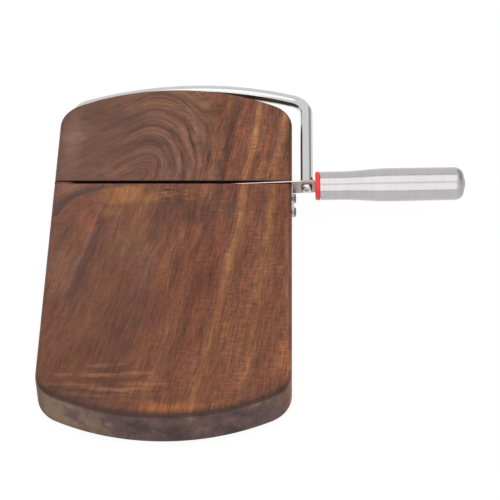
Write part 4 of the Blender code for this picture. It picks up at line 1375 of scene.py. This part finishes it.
shell = turned("steel_handle", outline, 128)
pick("FACE", lambda place, direction: place.z < NEAR and abs(direction.z) > 0.9)
bpy.ops.mesh.delete(type="ONLY_FACE")
bpy.ops.mesh.select_all(action="SELECT")
bpy.ops.mesh.remove_doubles(threshold=3 * NEAR)
face_outwards()
bpy.ops.object.mode_set(mode="OBJECT")
wall = shell.modifiers.new("wall", "SOLIDIFY")
wall.thickness = SHELL_WALL
wall.offset = -1
wall.use_even_offset = True
bpy.ops.object.modifier_apply(modifier=wall.name)
place_in(shell, ALONG_HANDLE @ Matrix.Translation((0, 0, COLLAR_THICKNESS + SEAT_GAP)))
finish_piece(shell, ["handle_shell"], "bow", brushed_steel)

# %% [markdown]
# ## The stop plate
# A thin stepped plate is screwed to the board's right side. The strip comes down on its lower
# step. Its outline is drawn and extruded like the strip's, and three corners are rounded.

# %% Model the plate
PLATE_STEP_DROP = 2.5 * MM
PLATE_CORNER = 2.5 * MM
PLATE_SCREW_MARGIN = 3 * MM
PLATE_EDGE = 0.15 * MM

low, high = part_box("stop_plate")
rear_low, rear_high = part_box("plate_screw_rear")
shoulder_y = (rear_low.y + rear_high.y) / 2 + PLATE_SCREW_MARGIN
step_z = high.z - PLATE_STEP_DROP
plate = draw_outline("stepped_plate", [
    (low.x, y, z) for y, z in (
        (low.y, low.z), (high.y, low.z), (high.y, step_z), (shoulder_y, step_z),
        (shoulder_y, high.z), (low.y, high.z))])
draw_on((high.x - low.x, 0, 0))
face_outwards()


def rounded_corner(place, run):
    """True for the plate's two front corners and its lower rear one."""
    front = place.y < low.y + NEAR
    lower_rear = place.y > high.y - NEAR and place.z < low.z + NEAR
    return abs(run.x) > 0.9 and (front or lower_rear)


pick("EDGE", rounded_corner)
round_off(PLATE_CORNER, 8)
pick("EDGE", lambda place, run: abs(run.x) < 0.1 and place.x > high.x - NEAR)
round_off(PLATE_EDGE, 2)
print("the plate is", round((high.x - low.x) / MM, 1), "mm thick")

# %% Screw it on
SMALL_SCREW_RADIUS = 1.4 * MM

front_screw = pan_screw("side_screw_front", SMALL_SCREW_RADIUS, 3 * MM, 1.3 * MM, 12 * MM, Z_TO_X)
rear_screw = copy_of(front_screw, "side_screw_rear")
for screw_node, screw in (("plate_screw_front", front_screw), ("plate_screw_rear", rear_screw)):
    screw_low, screw_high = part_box(screw_node)
    middle = (screw_low + screw_high) / 2
    drill(plate, PILOT_RADIUS, (low.x, middle.y, middle.z), 4 * MM, ALONG_X, 32)
    place_in(screw, Matrix.Translation((high.x + SEAT_GAP, middle.y, middle.z)))
    finish_piece(screw, [screw_node], "base", zinc_steel)
finish_piece(plate, ["stop_plate"], "base", satin_steel)

# %% [markdown]
# ## The feet
# Four rubber feet keep the board still. Each is a moulded disc with a recess that sinks the head
# of its screw. One foot and one screw are modelled at the origin and copied three times.

# %% Model a foot and its screw
FOOT_HEIGHT = 3 * MM
FOOT_RADIUS = 7 * MM
FOOT_RECESS = 1.5 * MM
FOOT_HEAD_RADIUS = 2.8 * MM
FOOT_ROUND = 0.5 * MM
FOOT_CHAMFER = 0.2 * MM

foot_top = FOOT_HEIGHT - SEAT_GAP
foot = turned("rubber_foot", [
    (FOOT_RADIUS - FOOT_ROUND, 0), (FOOT_RADIUS - 0.3 * FOOT_ROUND, 0.3 * FOOT_ROUND),
    (FOOT_RADIUS, FOOT_ROUND), (FOOT_RADIUS, foot_top - FOOT_CHAMFER),
    (FOOT_RADIUS - FOOT_CHAMFER, foot_top)], 64)
drill(foot, PILOT_RADIUS, (0, 0, 0), 10 * MM, vertices=32)
drill(foot, FOOT_HEAD_RADIUS + SEAT_GAP, (0, 0, 0), 2 * FOOT_RECESS, vertices=32)
foot_screw = pan_screw("underside_screw", SMALL_SCREW_RADIUS, FOOT_HEAD_RADIUS, 1 * MM, 9 * MM,
                       Matrix.Translation((0, 0, FOOT_RECESS - SEAT_GAP))
                       @ Matrix.Rotation(math.pi, 4, "X"), 32)
print("one foot and one screw made")

# %% Copy them to the four corners
FOOT_PARTS = ((foot, "foot", "rubber", black_rubber),
              (foot_screw, "foot_screw", "brushed_steel", zinc_steel))

for foot_x, foot_y in FOOT_PLACES:
    corner = f"{'rear' if foot_y > 0 else 'front'}_{'left' if foot_x < 0 else 'right'}"
    seat = Matrix.Translation((foot_x, foot_y, -BOARD_THICKNESS - FOOT_HEIGHT))
    for model, cad_node, slot, material in FOOT_PARTS:
        copy = copy_of(model, f"{model.name}_{corner}")
        place_in(copy, seat)
        finish_piece(copy, [f"{cad_node}_{corner}"], "base", material)
bpy.data.objects.remove(foot, do_unlink=True)
bpy.data.objects.remove(foot_screw, do_unlink=True)

# %% [markdown]
# ## Pieces that keep their CAD shape
# The nylon core that grips the tang, the pin through it and the bead on the wire's end are
# hidden inside. Their CAD shapes are right as they are, so they only get their finishes.

# %% Give the hidden pieces their finishes
for node_name, material in (("handle_core", grey_nylon), ("tang_pin", satin_steel),
                            ("wire_bead", polished_steel)):
    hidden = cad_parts[node_name]
    hidden.data.materials.clear()
    hidden.data.materials.append(material)
print("CAD shapes kept: handle_core, tang_pin, wire_bead")

# %% Finish
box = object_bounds()
print("size", [round((high - low) / MM, 1) for low, high in zip(*box)])
